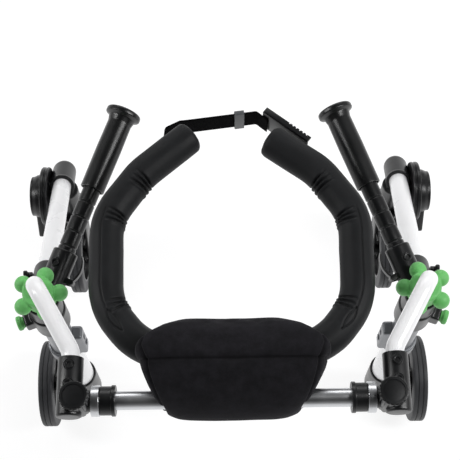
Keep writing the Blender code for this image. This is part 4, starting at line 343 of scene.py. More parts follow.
# Polyester stretch knit bonded to foam: charcoal, with faint wales 1.1 mm apart.
CHARCOAL_KNIT = Finish(
    "polyester_stretch_knit_charcoal", "charcoal_cover", Surface.KNIT, "#1a1b1d", "#0f1011",
    (0.48, 0.60), 1.1, 0.05, patch_mm=35.0, sheen=0.02, sheen_shade="#8d9096", specular=0.20,
)
# Napped microfibre: soft black that lightens in brushed patches. Its nap is finer than the
# 1.5 mm that it is drawn at.
BLACK_SUEDE = Finish(
    "microfibre_suede_napped_black", "black_suede", Surface.NAP, "#222125", "#0d0d0f",
    (0.82, 0.94), 1.5, 0.26, patch_mm=14.0, sheen=0.12, sheen_shade="#85838a", specular=0.12,
)
# Woven polypropylene webbing: black, its ribs 1.6 mm apart.
BLACK_WEBBING = Finish(
    "polypropylene_webbing_woven_black", "black_webbing", Surface.WEBBING, "#101012", "#040405",
    (0.60, 0.72), 1.6, 0.25, specular=0.02,
)
# Moulded acetal keeper: dark grey, smooth.
KEEPER_GREY = Finish(
    "acetal_moulded_grey", "grey_webbing", Surface.MOULDED, "#55575a", "#46484b",
    (0.35, 0.45), 0.9, 0.02,
)

FINISHES = {
    finish.slot: finish for finish in (
        WHITE_COAT, GREY_COAT, BLACK_NYLON, BLACK_RUBBER, TYRE_RUBBER, GREEN_SOFT, ALUMINIUM,
        STEEL, CHARCOAL_KNIT, BLACK_SUEDE, BLACK_WEBBING, KEEPER_GREY,
    )
}


# Places and outlines

def placed(point: Vector, along: Vector, upward: Vector = UP) -> Matrix:
    """A place whose X runs along a way and whose Z is as near upward as it can be.

    Args:
        point: Where its origin is.
        along: The way of X.
        upward: The way that Z leans to.

    Returns:
        The place's matrix.
    """
    x = Vector(along).normalized()
    y = Vector(upward).cross(x).normalized()
    matrix = Matrix((x, y, x.cross(y))).transposed().to_4x4()
    matrix.translation = Vector(point)
    return matrix


def standing(point: Vector, axis: Vector) -> Matrix:
    """A place whose Z runs along an axis.

    Args:
        point: Where its origin is.
        axis: The way of Z.

    Returns:
        The place's matrix.
    """
    matrix = Vector(axis).to_track_quat("Z", "Y").to_matrix().to_4x4()
    matrix.translation = Vector(point)
    return matrix


def rounded(corners: Sequence[Vector], radii: Sequence[float], steps: int,
            closed: bool = False) -> list[Vector]:
    """Follows straight runs between corners and turns each corner by an arc.

    Args:
        corners: The corner points.
        radii: The arc's radius at each corner, 0 for a sharp one.
        steps: How many pieces each arc has.
        closed: Whether the last corner joins the first.

    Returns:
        The points of the path.
    """
    path: list[Vector] = []
    count = len(corners)
    for index, corner in enumerate(corners):
        before = corners[index - 1] - corner
        after = corners[(index + 1) % count] - corner
        at_end = not closed and index in (0, count - 1)
        if at_end or radii[index] <= 0 or before.angle(after) > math.pi - 0.02:
            path.append(corner.copy())
            continue
        half = before.angle(after) / 2
        reach = min(radii[index] / math.tan(half), before.length * 0.49, after.length * 0.49)
        middle = (before.normalized() + after.normalized()).normalized()
        centre = corner + middle * (reach / math.cos(half))
        start = corner + before.normalized() * reach - centre
        end = corner + after.normalized() * reach - centre
        axis = start.cross(end)
        sweep_angle = start.angle(end)
        for step in range(steps + 1):
            path.append(centre + Matrix.Rotation(sweep_angle * step / steps, 3, axis) @ start)
    return path


def polar(radius: float, angle: float, ahead: float = 0.0) -> Vector:
    """The point of the XY plane at a radius and an angle, moved along X."""
    return Vector((ahead + radius * math.cos(angle), radius * math.sin(angle), 0))


def link(reach: float, start: float, end: float) -> list[Vector]:
    """The outline of a flat link, round at both ends, the first about the origin.

    Args:
        reach: The distance between the two ends' centres, along X.
        start: The first end's radius.
        end: The second end's radius.

    Returns:
        The outline's points in the XY plane.
    """
    lean = math.acos((start - end) / reach)
    steps = 14
    return [
        polar(start, lean + (2 * math.pi - 2 * lean) * step / steps) for step in range(steps + 1)
    ] + [polar(end, -lean + 2 * lean * step / steps, reach) for step in range(steps + 1)]


def ribbed(radius: float, depth: float, ribs: int) -> list[Vector]:
    """The outline of a disc with round ribs on its rim.

    Args:
        radius: The radius at the ribs' tops.
        depth: How deep the hollows between them are.
        ribs: How many ribs there are.

    Returns:
        The outline's points in the XY plane.
    """
    count = ribs * 8
    outline = []
    for step in range(count):
        angle = 2 * math.pi * step / count
        hollow = depth * (1 - abs(math.cos(ribs * angle / 2))) ** 1.5
        outline.append(polar(radius - hollow, angle))
    return outline


def circle(radius: float, count: int) -> list[Vector]:
    """A round section in the YZ plane, which starts at its lowest point.

    Args:
        radius: Its radius.
        count: How many points it has.

    Returns:
        The section's points.
    """
    turns = [2 * math.pi * step / count - math.pi / 2 for step in range(count)]
    return [Vector((0, radius * math.cos(turn), radius * math.sin(turn))) for turn in turns]


def stations(path: Sequence[Vector]) -> list[Matrix]:
    """Places along a path, the first one upright and each turned no more than the path asks.

    Args:
        path: The points of the path.

    Returns:
        One place for each point.
    """
    places = []
    normal = UP
    for index, point in enumerate(path):
        before, after = path[max(index - 1, 0)], path[min(index + 1, len(path) - 1)]
        way = (after - before).normalized()
        normal = (normal - way * normal.dot(way)).normalized()
        places.append(placed(point, way, normal))
    return places


# Shapes

def turned(corners: Sequence[tuple[float, ...]], place: Matrix, steps: int) -> Shape:
    """Turns a profile about the Z axis of its place.

    Args:
        corners: Each corner's (radius, height) or (radius, height, rounding). A profile that
            starts off the axis is closed to a ring.
        place: Where the turned shape goes.
        steps: How many steps the turn has.

    Returns:
        The turned shape.
    """
    ring = corners[0][0] > 0
    points = [Vector((corner[0], 0, corner[1])) for corner in corners]
    radii = [corner[2] if len(corner) > 2 else 0.0 for corner in corners]
    shape = bmesh.new()
    verts = [shape.verts.new(point) for point in rounded(points, radii, 5, ring)]
    pairs = zip(verts, verts[1:] + verts[:1]) if ring else zip(verts, verts[1:])
    edges = [shape.edges.new(pair) for pair in pairs]
    bmesh.ops.spin(
        shape, geom=verts + edges, cent=(0, 0, 0), axis=(0, 0, 1), dvec=(0, 0, 0),
        angle=2 * math.pi, steps=steps, use_merge=True, use_normal_flip=False,
        use_duplicate=False,
    )
    bmesh.ops.remove_doubles(shape, verts=shape.verts, dist=0.000002)
    bmesh.ops.transform(shape, matrix=place, verts=shape.verts)
    bmesh.ops.recalc_face_normals(shape, faces=shape.faces)
    return shape


def bar(radius: float, start: Vector, end: Vector, edge: float = 0.0, steps: int = 40) -> Shape:
    """A round bar between two points.

    Args:
        radius: Its radius.
        start: The middle of one end.
        end: The middle of the other end.
        edge: The rounding of its two rims.
        steps: How many sides it has.

    Returns:
        The bar.
    """
    way = end - start
    corners = ((0, 0), (radius, 0, edge), (radius, way.length, edge), (0, way.length))
    return turned(corners, standing(start, way), steps)


def upright(radius: float, low: float, high: float, edge: float = 0.0, steps: int = 64) -> Shape:
    """A round bar along the post's axis, between two heights."""
    return bar(radius, POST + UP * low, POST + UP * high, edge, steps)


def crosswise(place: Matrix, radius: float, half: float, edge: float, steps: int) -> Shape:
    """A round bar along the Z of a place, as long to both sides."""
    return bar(radius, place @ Vector((0, 0, -half)), place @ Vector((0, 0, half)), edge, steps)


def sweep(section: Sequence[Vector], places: Sequence[Matrix]) -> Shape:
    """Draws a closed section along places and closes its ends.

    Args:
        section: The section's points, in the YZ plane.
        places: Where the section stands, one after another.

    Returns:
        The swept shape, with the distances along and around it in its "cloth" attribute.
    """
    shape = bmesh.new()
    cloth = shape.verts.layers.float_vector.new("cloth")
    around = 0.0
    ring = []
    for index, point in enumerate(section):
        if index:
            around += (point - section[index - 1]).length
        vert = shape.verts.new(places[0] @ point)
        vert[cloth] = Vector((0, around, 0))
        ring.append(vert)
    shape.faces.new(ring)
    edges = [shape.edges.get(pair) for pair in zip(ring, ring[1:] + ring[:1])]
    for before, after in zip(places, places[1:]):
        made = bmesh.ops.extrude_edge_only(shape, edges=edges)["geom"]
        verts = [item for item in made if isinstance(item, bmesh.types.BMVert)]
        fresh = set(verts)
        edges = [
            item for item in made
            if isinstance(item, bmesh.types.BMEdge) and fresh.issuperset(item.verts)
        ]
        bmesh.ops.transform(shape, matrix=after @ before.inverted(), verts=verts)
        step = (after.translation - before.translation).length
        for vert in verts:
            vert[cloth] += Vector((step, 0, 0))
    bmesh.ops.contextual_create(shape, geom=edges)
    bmesh.ops.recalc_face_normals(shape, faces=shape.faces)
    return shape


def softened(shape: Shape, edge: float, least: float = 40.0) -> Shape:
    """Rounds the sharp edges of a shape.

    Args:
        shape: The shape, which is changed.
        edge: The width of the rounding.
        least: The smallest angle in degrees that counts as sharp.

    Returns:
        The same shape.
    """
    limit = math.radians(least)
    sharp = [item for item in shape.edges if item.is_manifold and item.calc_face_angle(0) > limit]
    bmesh.ops.bevel(
        shape, geom=sharp, offset=edge, offset_type="OFFSET", affect="EDGES", segments=3,
        profile=0.5, material=-1, clamp_overlap=True,
    )
    return shape


def block(size: tuple[float, float, float], place: Matrix, edge: float = 0.0) -> Shape:
    """A block with rounded edges.

    Args:
        size: Its length, width and height.
        place: The place of its middle.
        edge: The rounding of its edges.

    Returns:
        The block.
    """
    shape = bmesh.new()
    bmesh.ops.create_cube(shape, size=1.0, matrix=place @ Matrix.Diagonal((*size, 1.0)))
    return softened(shape, edge) if edge else shape


def plate(outline: Sequence[Vector], thickness: float, place: Matrix, edge: float = 0.0) -> Shape:
    """A flat plate, its thickness shared evenly to both sides of its place.

    Args:
        outline: Its outline in the XY plane.
        thickness: Its thickness.
        place: Where it goes.
        edge: The rounding of its two rims.

    Returns:
        The plate.
    """
    shape = bmesh.new()
    face = shape.faces.new([shape.verts.new(point - UP * thickness / 2) for point in outline])
    made = bmesh.ops.extrude_face_region(shape, geom=[face])["geom"]
    tops = [item for item in made if isinstance(item, bmesh.types.BMVert)]
    bmesh.ops.translate(shape, verts=tops, vec=UP * thickness)
    bmesh.ops.recalc_face_normals(shape, faces=shape.faces)
    if edge:
        softened(shape, edge, 60.0)
    bmesh.ops.transform(shape, matrix=place, verts=shape.verts)
    return shape


def mirror(shape: Shape) -> None:
    """Turns a shape into its mirror image on the other side."""
    bmesh.ops.scale(shape, vec=(-1, 1, 1), verts=shape.verts)
    bmesh.ops.reverse_faces(shape, faces=shape.faces)


def together(*shapes: Shape) -> Shape:
    """Puts several shapes into one, each closed by itself.

    Args:
        shapes: The shapes, which are used up.

    Returns:
        The joined shape.
    """
    whole = bmesh.new()
    for shape in shapes:
        mesh = bpy.data.meshes.new("working")
        shape.to_mesh(mesh)
        shape.free()
        whole.from_mesh(mesh)
        bpy.data.meshes.remove(mesh)
    return whole


def linked(name: str, data: bpy.types.ID) -> bpy.types.Object:
    """Makes an object and links it to the scene.

    Args:
        name: The object's name.
        data: Its mesh, light or camera.

    Returns:
        The new object, at the origin.
    """
    piece = bpy.data.objects.new(name, data)
    bpy.context.scene.collection.objects.link(piece)
    return piece


def as_object(shape: Shape, name: str) -> bpy.types.Object:
    """Makes an object of a shape.

    Args:
        shape: The shape, which is used up.
        name: The object's name.

    Returns:
        The new object, at the origin.
    """
    mesh = bpy.data.meshes.new(name)
    shape.to_mesh(mesh)
    shape.free()
    return linked(name, mesh)


def discard(piece: bpy.types.Object) -> None:
    """Removes a working object and its mesh."""
    mesh = piece.data
    bpy.data.objects.remove(piece)
    bpy.data.meshes.remove(mesh)


def modified(shape: Shape, *steps: tuple[str, dict]) -> Shape:
    """Applies modifiers to a shape.

    Args:
        shape: The shape, which is used up.
        steps: Each modifier's kind and settings.

    Returns:
        The shape that they give.
    """
    piece = as_object(shape, "working")
    for kind, settings in steps:
        modifier = piece.modifiers.new(kind.lower(), kind)
        for name, value in settings.items():
            setattr(modifier, name, value)
    graph = bpy.context.evaluated_depsgraph_get()
    made = piece.evaluated_get(graph)
    result = bmesh.new()
    result.from_mesh(made.to_mesh())
    made.to_mesh_clear()
    discard(piece)
    return result


def fused(shape: Shape, voxel: float, smoothing: int = 6) -> Shape:
    """Melts touching bodies into one moulded body with soft inner corners.

    Args:
        shape: The bodies, which are used up.
        voxel: The size of the steps that it is made anew from.
        smoothing: How many times it is smoothed.

    Returns:
        The moulded body.
    """
    return modified(
        shape,
        ("REMESH", {"mode": "VOXEL", "voxel_size": voxel, "use_smooth_shade": True}),
        ("SMOOTH", {"factor": 0.5, "iterations": smoothing}),
    )


def carved(shape: Shape, *cutters: Shape) -> Shape:
    """Cuts shapes out of a shape.

    Args:
        shape: The shape, which is used up.
        cutters: What is cut out, used up too.

    Returns:
        What is left.
    """
    for cutter in cutters:
        tool = as_object(cutter, "cutter")
        shape = modified(
            shape, ("BOOLEAN", {"operation": "DIFFERENCE", "solver": "EXACT", "object": tool}),
        )
        discard(tool)
    return shape


def shown(shape: Shape, node: str, finish: Finish, body: str,
          crease: float = 38.0) -> bpy.types.Object:
    """Finishes a piece: its object, shading, material, body and the node it stands for.

    Args:
        shape: The piece's shape, which is used up.
        node: The CAD node that it stands for.
        finish: What it is made of.
        body: The body that it rides on.
        crease: The angle in degrees past which an edge stays sharp.

    Returns:
        The finished piece.
    """
    piece = as_object(shape, f"{node}_finished")
    piece.data.shade_smooth()
    piece.data.set_sharp_from_angle(angle=math.radians(crease))
    piece.data.materials.append(finish.material())
    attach(piece, body)
    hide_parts(node)
    log.info("%s: %d faces, on %s", piece.name, len(piece.data.polygons), body)
    return piece


def pair(shape: Shape, part: str, finish: Finish, body: str, crease: float = 38.0) -> None:
    """Shows a right-hand piece and its mirror image on the left.

    Args:
        shape: The right-hand shape, which is used up.
        part: The CAD node's name without its side.
        finish: What it is made of.
        body: The body's name without its side, or a body that both share.
        crease: The angle in degrees past which an edge stays sharp.
    """
    mirrored = shape.copy()
    mirror(mirrored)
    for side, half in (("right", shape), ("left", mirrored)):
        carrier = body if body in frame["bodies"] else f"{side}_{body}"
        shown(half, f"{side}_{part}", finish, carrier, crease)


def coordinates(mesh: bpy.types.Mesh) -> np.ndarray:
    """Reads the points of a mesh.

    Args:
        mesh: The mesh.

    Returns:
        Its points, one a row.
    """
    points = np.empty(len(mesh.vertices) * 3)
    mesh.vertices.foreach_get("co", points)
    return points.reshape(-1, 3)


def swollen(shape: Shape, voxel: float, cap: float) -> Shape:
    """Swells a cover over its filling by cloth simulation, and makes it finer.

    Args:
        shape: The slack cover, which is used up.
        voxel: The size of the cloth's cells.
        cap: How far a point may move.

    Returns:
        The filled cover.
    """
    shape = modified(shape, ("REMESH", {"mode": "VOXEL", "voxel_size": voxel}))
    finer = ("SUBSURF", {"levels": 2, "render_levels": 2})
    cover = as_object(shape, "cover")
    rest = coordinates(cover.data)
    cloth = cover.modifiers.new("filling", "CLOTH")
    cloth.settings.use_pressure = True
    cloth.settings.uniform_pressure_force = FILLING_PRESSURE
    cloth.settings.effector_weights.gravity = 0
    cloth.point_cache.frame_start = 1
    cloth.point_cache.frame_end = FILLING_FRAMES
    scene = bpy.context.scene
    for step in range(1, FILLING_FRAMES + 1):
        scene.frame_set(step)
    made = cover.evaluated_get(bpy.context.evaluated_depsgraph_get())
    moved = coordinates(made.data) - rest
    scene.frame_set(1)
    cover.modifiers.remove(cloth)
    length = np.linalg.norm(moved, axis=1, keepdims=True)
    moved *= np.minimum(1.0, cap / np.maximum(length, 1e-9))
    cover.data.vertices.foreach_set("co", (rest + moved).ravel())
    result = bmesh.new()
    result.from_mesh(cover.data)
    discard(cover)
    return modified(result, finer)


def dent(distance: np.ndarray, width: float) -> np.ndarray:
    """How deep a sewn line pulls the cover at a distance from it, from 0 to 1."""
    return np.exp(-(distance / width) ** 2)


def pressed(mesh: bpy.types.Mesh, depth: np.ndarray, ripple: float, pitch: float) -> None:
    """Presses sewn lines into a cover, gives it the slight unevenness of foam below, and stores
    each point's depth in its seam attribute as a mask of painted shade.

    Args:
        mesh: The padded piece's mesh.
        depth: How far each point goes in.
        ripple: How far the unevenness goes in and out.
        pitch: The distance between its high spots.
    """
    points = coordinates(mesh)
    normals = np.array([vert.normal[:] for vert in mesh.vertices])
    uneven = np.array([noise.noise(Vector(point) / pitch) for point in points]) * ripple
    points += normals * (uneven - depth)[:, None]
    # The seam attribute is a mask of painted shade: the cover's material darkens the pressed seams
    # and folds with it, towards near black.
    seam = mesh.attributes.new("seam", "FLOAT", "POINT")
    seam.data.foreach_set("value", np.clip(depth / depth.max(), 0, 1))
    mesh.vertices.foreach_set("co", points.ravel())
    mesh.update()


# Padded pieces

@dataclass
class RingPads:
    """The two padded arms round the hips: a knit cover over a foam tube, pinched at each bend."""

    height: float = 0.630
    radius: float = 0.0241
    fronts: tuple[tuple[float, float], ...] = ((0.0540, 0.1232), (0.0525, 0.1325))
    corners: tuple[tuple[float, float], ...] = (
        (0.125, 0.0712), (0.1735, 0.0032), (0.171, -0.1248), (0.125, -0.1848), (0.0, -0.2068),
    )
    bend: float = 0.090
    rear: tuple[float, float] = (0.100, -0.15)
    end_rounding: float = 0.008
    end_power: float = 2.6
    fold_pitch: float = 0.0072
    fold_depth: float = 0.0046
    fold_width: float = 0.0018
    fold_turn: float = 155.0
    fold_spread: float = 72.0
    fold_shifts: tuple[tuple[float, ...], ...] = ((0.020, 0.004, 0.012), (0.014, 0.0, 0.010))
    seam_depth: float = 0.0015
    seam_turn: float = 76.0
    leaf_length: float = 0.036
    leaf_lean: float = 0.20

    def centreline(self, front: tuple[float, float]) -> np.ndarray:
        """The middle of an arm from its free end, a point every millimetre, on the right side.

        Args:
            front: Where its free end is.

        Returns:
            The points, one a row.
        """
        corners = [Vector((x, y, self.height)) for x, y in (front, *self.corners)]
        path = np.array([point[:] for point in rounded(corners, [self.bend] * len(corners), 16)])
        steps = np.r_[0, np.cumsum(np.linalg.norm(np.diff(path, axis=0), axis=1))]
        even = np.arange(0, steps[-1], MM)
        line = np.column_stack([np.interp(even, steps, path[:, axis]) for axis in range(3)])
        past = np.nonzero((line[:, 1] < self.rear[1]) & (line[:, 0] < self.rear[0]))[0][0]
        return line[:past]

    def cover(self, line: np.ndarray) -> Shape:
        """Sweeps the slack cover along the arm, with its free end rounded.

        Args:
            line: The arm's middle.

        Returns:
            The cover.
        """
        places = []
        for index, place in enumerate(stations([Vector(point) for point in line[::3]])):
            short = max(0.0, 1 - index * 3 * MM / self.end_rounding)
            size = max(0.25, (1 - short ** self.end_power) ** (1 / self.end_power))
            places.append(place @ Matrix.Diagonal((1, size, size, 1)))
        return sweep(circle(self.radius, 40), places)

    def sewing(self, points: np.ndarray, line: np.ndarray,
               shifts: Sequence[float]) -> tuple[np.ndarray, np.ndarray]:
        """Works out where the folds and seams pull the cover in.

        Args:
            points: The cover's points, on the right side.
            line: The arm's middle.
            shifts: How far behind its bend each group of folds lies.

        Returns:
            How deep each point goes, and its distance along and around the arm.
        """
        nearest = np.concatenate([
            np.argmin(((part[:, None, :2] - line[None, :, :2]) ** 2).sum(axis=2), axis=1)
            for part in np.array_split(points, max(1, len(points) // 4000))
        ])
        ways = np.gradient(line, axis=0)
        ways /= np.linalg.norm(ways, axis=1, keepdims=True)
        outward = np.column_stack([-ways[:, 1], ways[:, 0], np.zeros(len(ways))])
        away = points - line[nearest]
        along = nearest * MM + (away * ways[nearest]).sum(axis=1)
        turn = np.arctan2(away[:, 2], (away * outward[nearest]).sum(axis=1))
        depth = np.zeros(len(points))
        past = turn - math.radians(self.fold_turn)
        inner = np.abs(np.degrees(np.arctan2(np.sin(past), np.cos(past)))) / self.fold_spread
        reach = np.clip(1 - inner, 0, 1) ** 0.6
        width = self.fold_width
        bends = []
        for corner, shift in zip(self.corners, shifts):
            gaps = np.linalg.norm(line[:, :2] - np.array(corner), axis=1)
            bends.append(np.argmin(gaps) * MM + shift)
        for middle in bends:
            for index in (-1, 0, 1):
                spread = self.fold_pitch * index * (1.15 - 0.35 * (1 - inner))
                gap = along - middle - spread
                rise = dent(gap - self.fold_pitch / 2, width * 1.3)
                depth += self.fold_depth * reach * dent(gap, width)
                depth -= self.fold_depth * 0.35 * reach * rise
        seam = math.radians(self.seam_turn)
        start = np.clip((along - bends[1] + 0.012) / 0.01, 0, 1)
        end = np.clip((bends[2] + 0.006 - along) / 0.008, 0, 1)
        depth += self.seam_depth * (start * end) * dent((turn - seam) * self.radius, 0.0011)
        leaf = (along - bends[2] - 0.002) / self.leaf_length
        inside = (leaf > 0) & (leaf < 1)
        for side in (-1, 1):
            lean = seam + side * self.leaf_lean * np.sin(np.pi * np.clip(leaf, 0, 1))
            depth += self.seam_depth * inside * dent((turn - lean) * self.radius, 0.0012)
        return depth, np.column_stack([along, turn * self.radius, np.zeros(len(points))])

    def build(self) -> None:
        """Makes, fills and sews both arms."""
        sides = zip(("right", "left"), (1.0, -1.0), self.fronts, self.fold_shifts)
        for name, side, front, shifts in sides:
            line = self.centreline(front)
            shape = swollen(self.cover(line), 0.0045, 0.0010)
            if side < 0:
                mirror(shape)
            piece = shown(shape, f"{name}_ring_pad", CHARCOAL_KNIT, "upper_frame", 180)
            points = coordinates(piece.data) * np.array([side, 1, 1])
            depth, cloth = self.sewing(points, line, shifts)
            layers = piece.data.attributes
            held = layers.get("cloth") or layers.new("cloth", "FLOAT_VECTOR", "POINT")
            held.data.foreach_set("vector", cloth.ravel())
            pressed(piece.data, depth, 0.00035, 0.030)


@dataclass
class BackPad:
    """The suede back pad: a crowned bolster over a tapered lower half, with sewn seams."""

    section: tuple[tuple[float, float, float], ...] = (
        (-0.0670, 0.534, 0.108), (-0.0620, 0.570, 0.106), (-0.0600, 0.630, 0.103),
        (-0.0620, 0.670, 0.103), (-0.0690, 0.692, 0.112), (-0.0820, 0.702, 0.128),
        (-0.1010, 0.7045, 0.134), (-0.1205, 0.702, 0.128), (-0.1265, 0.6985, 0.126),
        (-0.1435, 0.690, 0.122), (-0.1675, 0.672, 0.114), (-0.1840, 0.648, 0.105),
        (-0.1895, 0.630, 0.100), (-0.1870, 0.606, 0.101), (-0.1695, 0.580, 0.108),
        (-0.1425, 0.558, 0.114), (-0.1095, 0.540, 0.118), (-0.0915, 0.532, 0.114),
    )
    seam_corners: tuple[int, int] = (8, 17)
    middle: tuple[float, float] = (-0.2053, 0.625)
    rounding: float = 5.2
    slack: float = 0.985
    seam_depth: float = 0.0034
    seam_width: float = 0.0016
    seam_hollow: float = 0.007
    side_seam: float = 0.89
    hollow: float = 0.007
    hollow_start: float = 0.030

    def around(self, turn: np.ndarray) -> tuple[np.ndarray, np.ndarray]:
        """The section's reach and half width at angles about its middle.

        Args:
            turn: The angles.

        Returns:
            The reach and the half width at each.
        """
        points = np.array(self.section)
        y = points[:, 0] + POST.y - self.middle[0]
        z = points[:, 1] - self.middle[1]
        angles = np.arctan2(z, y)
        order = np.argsort(angles)
        reach = np.interp(turn, angles[order], np.hypot(y, z)[order], period=2 * math.pi)
        half = np.interp(turn, angles[order], points[order, 2], period=2 * math.pi)
        return reach, half

    def cover(self) -> Shape:
        """Shapes the slack cover from a sphere.

        Returns:
            The cover.
        """
        shape = bmesh.new()
        bmesh.ops.create_uvsphere(
            shape, u_segments=72, v_segments=56, radius=1.0,
            matrix=Matrix.Rotation(math.pi / 2, 4, "Y"),
        )
        balls = np.array([vert.co[:] for vert in shape.verts])
        turn = np.arctan2(balls[:, 2], balls[:, 1])
        reach, half = self.around(turn)
        across = np.clip(balls[:, 0], -1, 1)
        size = (1 - np.abs(across) ** self.rounding) ** (1 / self.rounding) * self.slack
        sides = across * half * self.slack
        for vert, x, radius, angle in zip(shape.verts, sides, reach * size, turn):
            ahead = radius * math.cos(angle)
            share = min(1.0, max(0.0, ahead / self.hollow_start))
            ahead -= self.hollow * (1 - (x / half.max()) ** 2) * share
            vert.co = (x, self.middle[0] + ahead, self.middle[1] + radius * math.sin(angle))
        bmesh.ops.remove_doubles(shape, verts=shape.verts, dist=0.00001)
        bmesh.ops.recalc_face_normals(shape, faces=shape.faces)
        return shape

    def build(self) -> None:
        """Makes, fills and sews the pad."""
        shape = swollen(self.cover(), 0.006, 0.0035)
        piece = shown(shape, "back_pad", BLACK_SUEDE, "upper_frame", 180)
        points = coordinates(piece.data)
        y, z = points[:, 1] - self.middle[0], points[:, 2] - self.middle[1]
        turn = np.arctan2(z, y)
        _, half = self.around(turn)
        away = np.hypot(y, z)
        depth = np.zeros(len(points))
        for index in self.seam_corners:
            seam_y = self.section[index][0] + POST.y - self.middle[0]
            seam_z = self.section[index][1] - self.middle[1]
            gap = (turn - math.atan2(seam_z, seam_y) + math.pi) % (2 * math.pi) - math.pi
            narrow, wide = dent(gap * away, self.seam_width), dent(gap * away, self.seam_hollow)
            depth += self.seam_depth * (0.6 * narrow + 0.4 * wide)
        side = (np.abs(points[:, 0]) / half - self.side_seam) * half
        depth += self.seam_depth * 0.7 * dent(side, 0.0017) * (away > 0.03)
        pressed(piece.data, depth, 0.0006, 0.040)


# Strap and buckle

@dataclass
class FrontStrap:
    """The webbing that closes the ring, its keeper, and the ratchet buckle on the right arm."""

    width: float = 0.040
    thickness: float = 0.0024
    height: float = 0.606
    points_across: int = 44
    ribs: int = 22
    keeper: tuple[float, float, float] = (0.0145, 0.0145, 0.0020)
    path: tuple[tuple[float, float], ...] = (
        (-0.1151, 0.1137), (-0.0945, 0.1312), (-0.0932, 0.1466), (-0.0723, 0.1572),
        (-0.06166, 0.15821), (0.03984, 0.17093), (0.0462, 0.1652), (0.0552, 0.1576),
    )
    arm_start: tuple[float, float] = (0.0575, 0.1252)
    arm_way: tuple[float, float] = (0.781, -0.625)
    arm_face: float = 0.0256
    buckle_height: float = 0.612
    buckle_length: float = 0.080
    buckle_overhang: float = 0.032
    buckle_depth: float = 0.0105
    buckle_half: float = 0.022
    wall: float = 0.003
    play: float = 0.0005
    lever_length: float = 0.062
    lever_thickness: float = 0.0034
    barrel_radius: float = 0.0034
    tip_radius: float = 0.0024

    def webbing(self) -> None:
        """Sweeps the webbing with its lengthwise ribs and its rolled edges."""
        half, thick = self.width / 2, self.thickness / 2
        section = []
        for face in (1, -1):
            for step in range(self.points_across + 1):
                share = step / self.points_across
                edge = min(1.0, min(share, 1 - share) * 12) ** 0.5
                rib = 0.84 + 0.16 * math.cos(share * math.pi * self.ribs)
                y = face * thick * max(0.35, edge * rib)
                section.append(Vector((0, y, face * (-half + share * self.width))))
        corners = [Vector((x, y, self.height)) for x, y in self.path]
        shape = sweep(section, stations(rounded(corners, [0.006] * len(corners), 4)))
        shown(shape, "front_strap", BLACK_WEBBING, "upper_frame")

    def loop(self) -> None:
        """Makes the keeper round the strap."""
        x, length, wall = self.keeper
        start, end = Vector((*self.path[4], 0)), Vector((*self.path[5], 0))
        share = (x - start.x) / (end.x - start.x)
        place = placed(start.lerp(end, share) + UP * self.height, end - start)
        depth, tall = self.thickness + 2 * SEAT_GAP, self.width + 2 * SEAT_GAP
        outside = block((length, depth + 2 * wall, tall + 2 * wall), place, 0.0008)
        shape = carved(outside, block((2 * length, depth, tall), place))
        shown(shape, "strap_keeper", KEEPER_GREY, "upper_frame")

    def buckle_place(self, distance: float, offset: float) -> Matrix:
        """A place on the buckle: X back along the arm, Y out from it, Z up.

        Args:
            distance: How far along the arm it is.
            offset: How far out from the buckle's back.

        Returns:
            The place's matrix.
        """
        way = Vector((*self.arm_way, 0)).normalized()
        outward = Vector((-way.y, way.x, 0))
        point = Vector((*self.arm_start, self.buckle_height)) + way * distance
        return placed(point + outward * (self.arm_face + offset), way)

    def channel(self) -> None:
        """Makes the buckle's back plate, its two toothed flanges and the lever's pin."""
        middle = self.buckle_length / 2 - self.buckle_overhang
        reach = self.buckle_half - self.wall / 2
        back = (self.buckle_length, self.wall, 2 * self.buckle_half)
        shapes = [block(back, self.buckle_place(middle, self.wall / 2), 0.0008)]
        for side in (-1, 1):
            rise = Matrix.Translation((0, 0, side * reach))
            place = self.buckle_place(middle, self.buckle_depth / 2) @ rise
            flange = block((self.buckle_length, self.buckle_depth, self.wall), place, 0.0009)
            notches = [block(
                (0.0025, 0.004, 2 * self.wall),
                self.buckle_place(0.010 + index * 0.006, self.buckle_depth) @ rise,
            ) for index in range(6)]
            shapes.append(carved(flange, *notches))
        foot, top = (self.pivot() @ Vector((0, 0, z)) for z in (-reach, reach + 0.0012))
        shapes.append(bar(0.002, foot, top, 0.0004, 20))
        shown(together(*shapes), "buckle_body", BLACK_NYLON, "upper_frame")

    def pivot(self) -> Matrix:
        """The middle of the buckle lever's pin."""
        distance = -self.buckle_overhang + self.barrel_radius + 0.004
        return self.buckle_place(distance, self.buckle_depth - self.barrel_radius - self.play)

    def lever(self) -> None:
        """Makes the ribbed lever that swings out on its pin."""
        pivot = self.pivot()
        half = self.buckle_half - self.wall - self.play
        middle = pivot @ Matrix.Translation((self.lever_length / 2, 0, 0))
        tip = pivot @ Matrix.Translation((self.lever_length - self.tip_radius, 0, 0))
        shapes = [
            crosswise(pivot, self.barrel_radius, half, 0.0005, 28),
            block((self.lever_length, self.lever_thickness, 2 * half), middle, 0.0008),
            crosswise(tip, self.tip_radius, half, 0.0008, 24),
        ]
        for index in range(5):
            spot = Matrix.Translation((0.016 + index * 0.009, self.lever_thickness / 2, 0))
            shapes.append(block((0.003, 0.0018, 1.7 * half), pivot @ spot, 0.0006))
        hole = crosswise(pivot, 0.0023, half * 1.3, 0, 20)
        shape = carved(fused(together(*shapes), 0.0006, 2), hole)
        shown(shape, "buckle_lever", BLACK_NYLON, "buckle_lever")

    def build(self) -> None:
        """Makes the strap's pieces."""
        self.webbing()
        self.loop()
        self.channel()
        self.lever()


# Frame

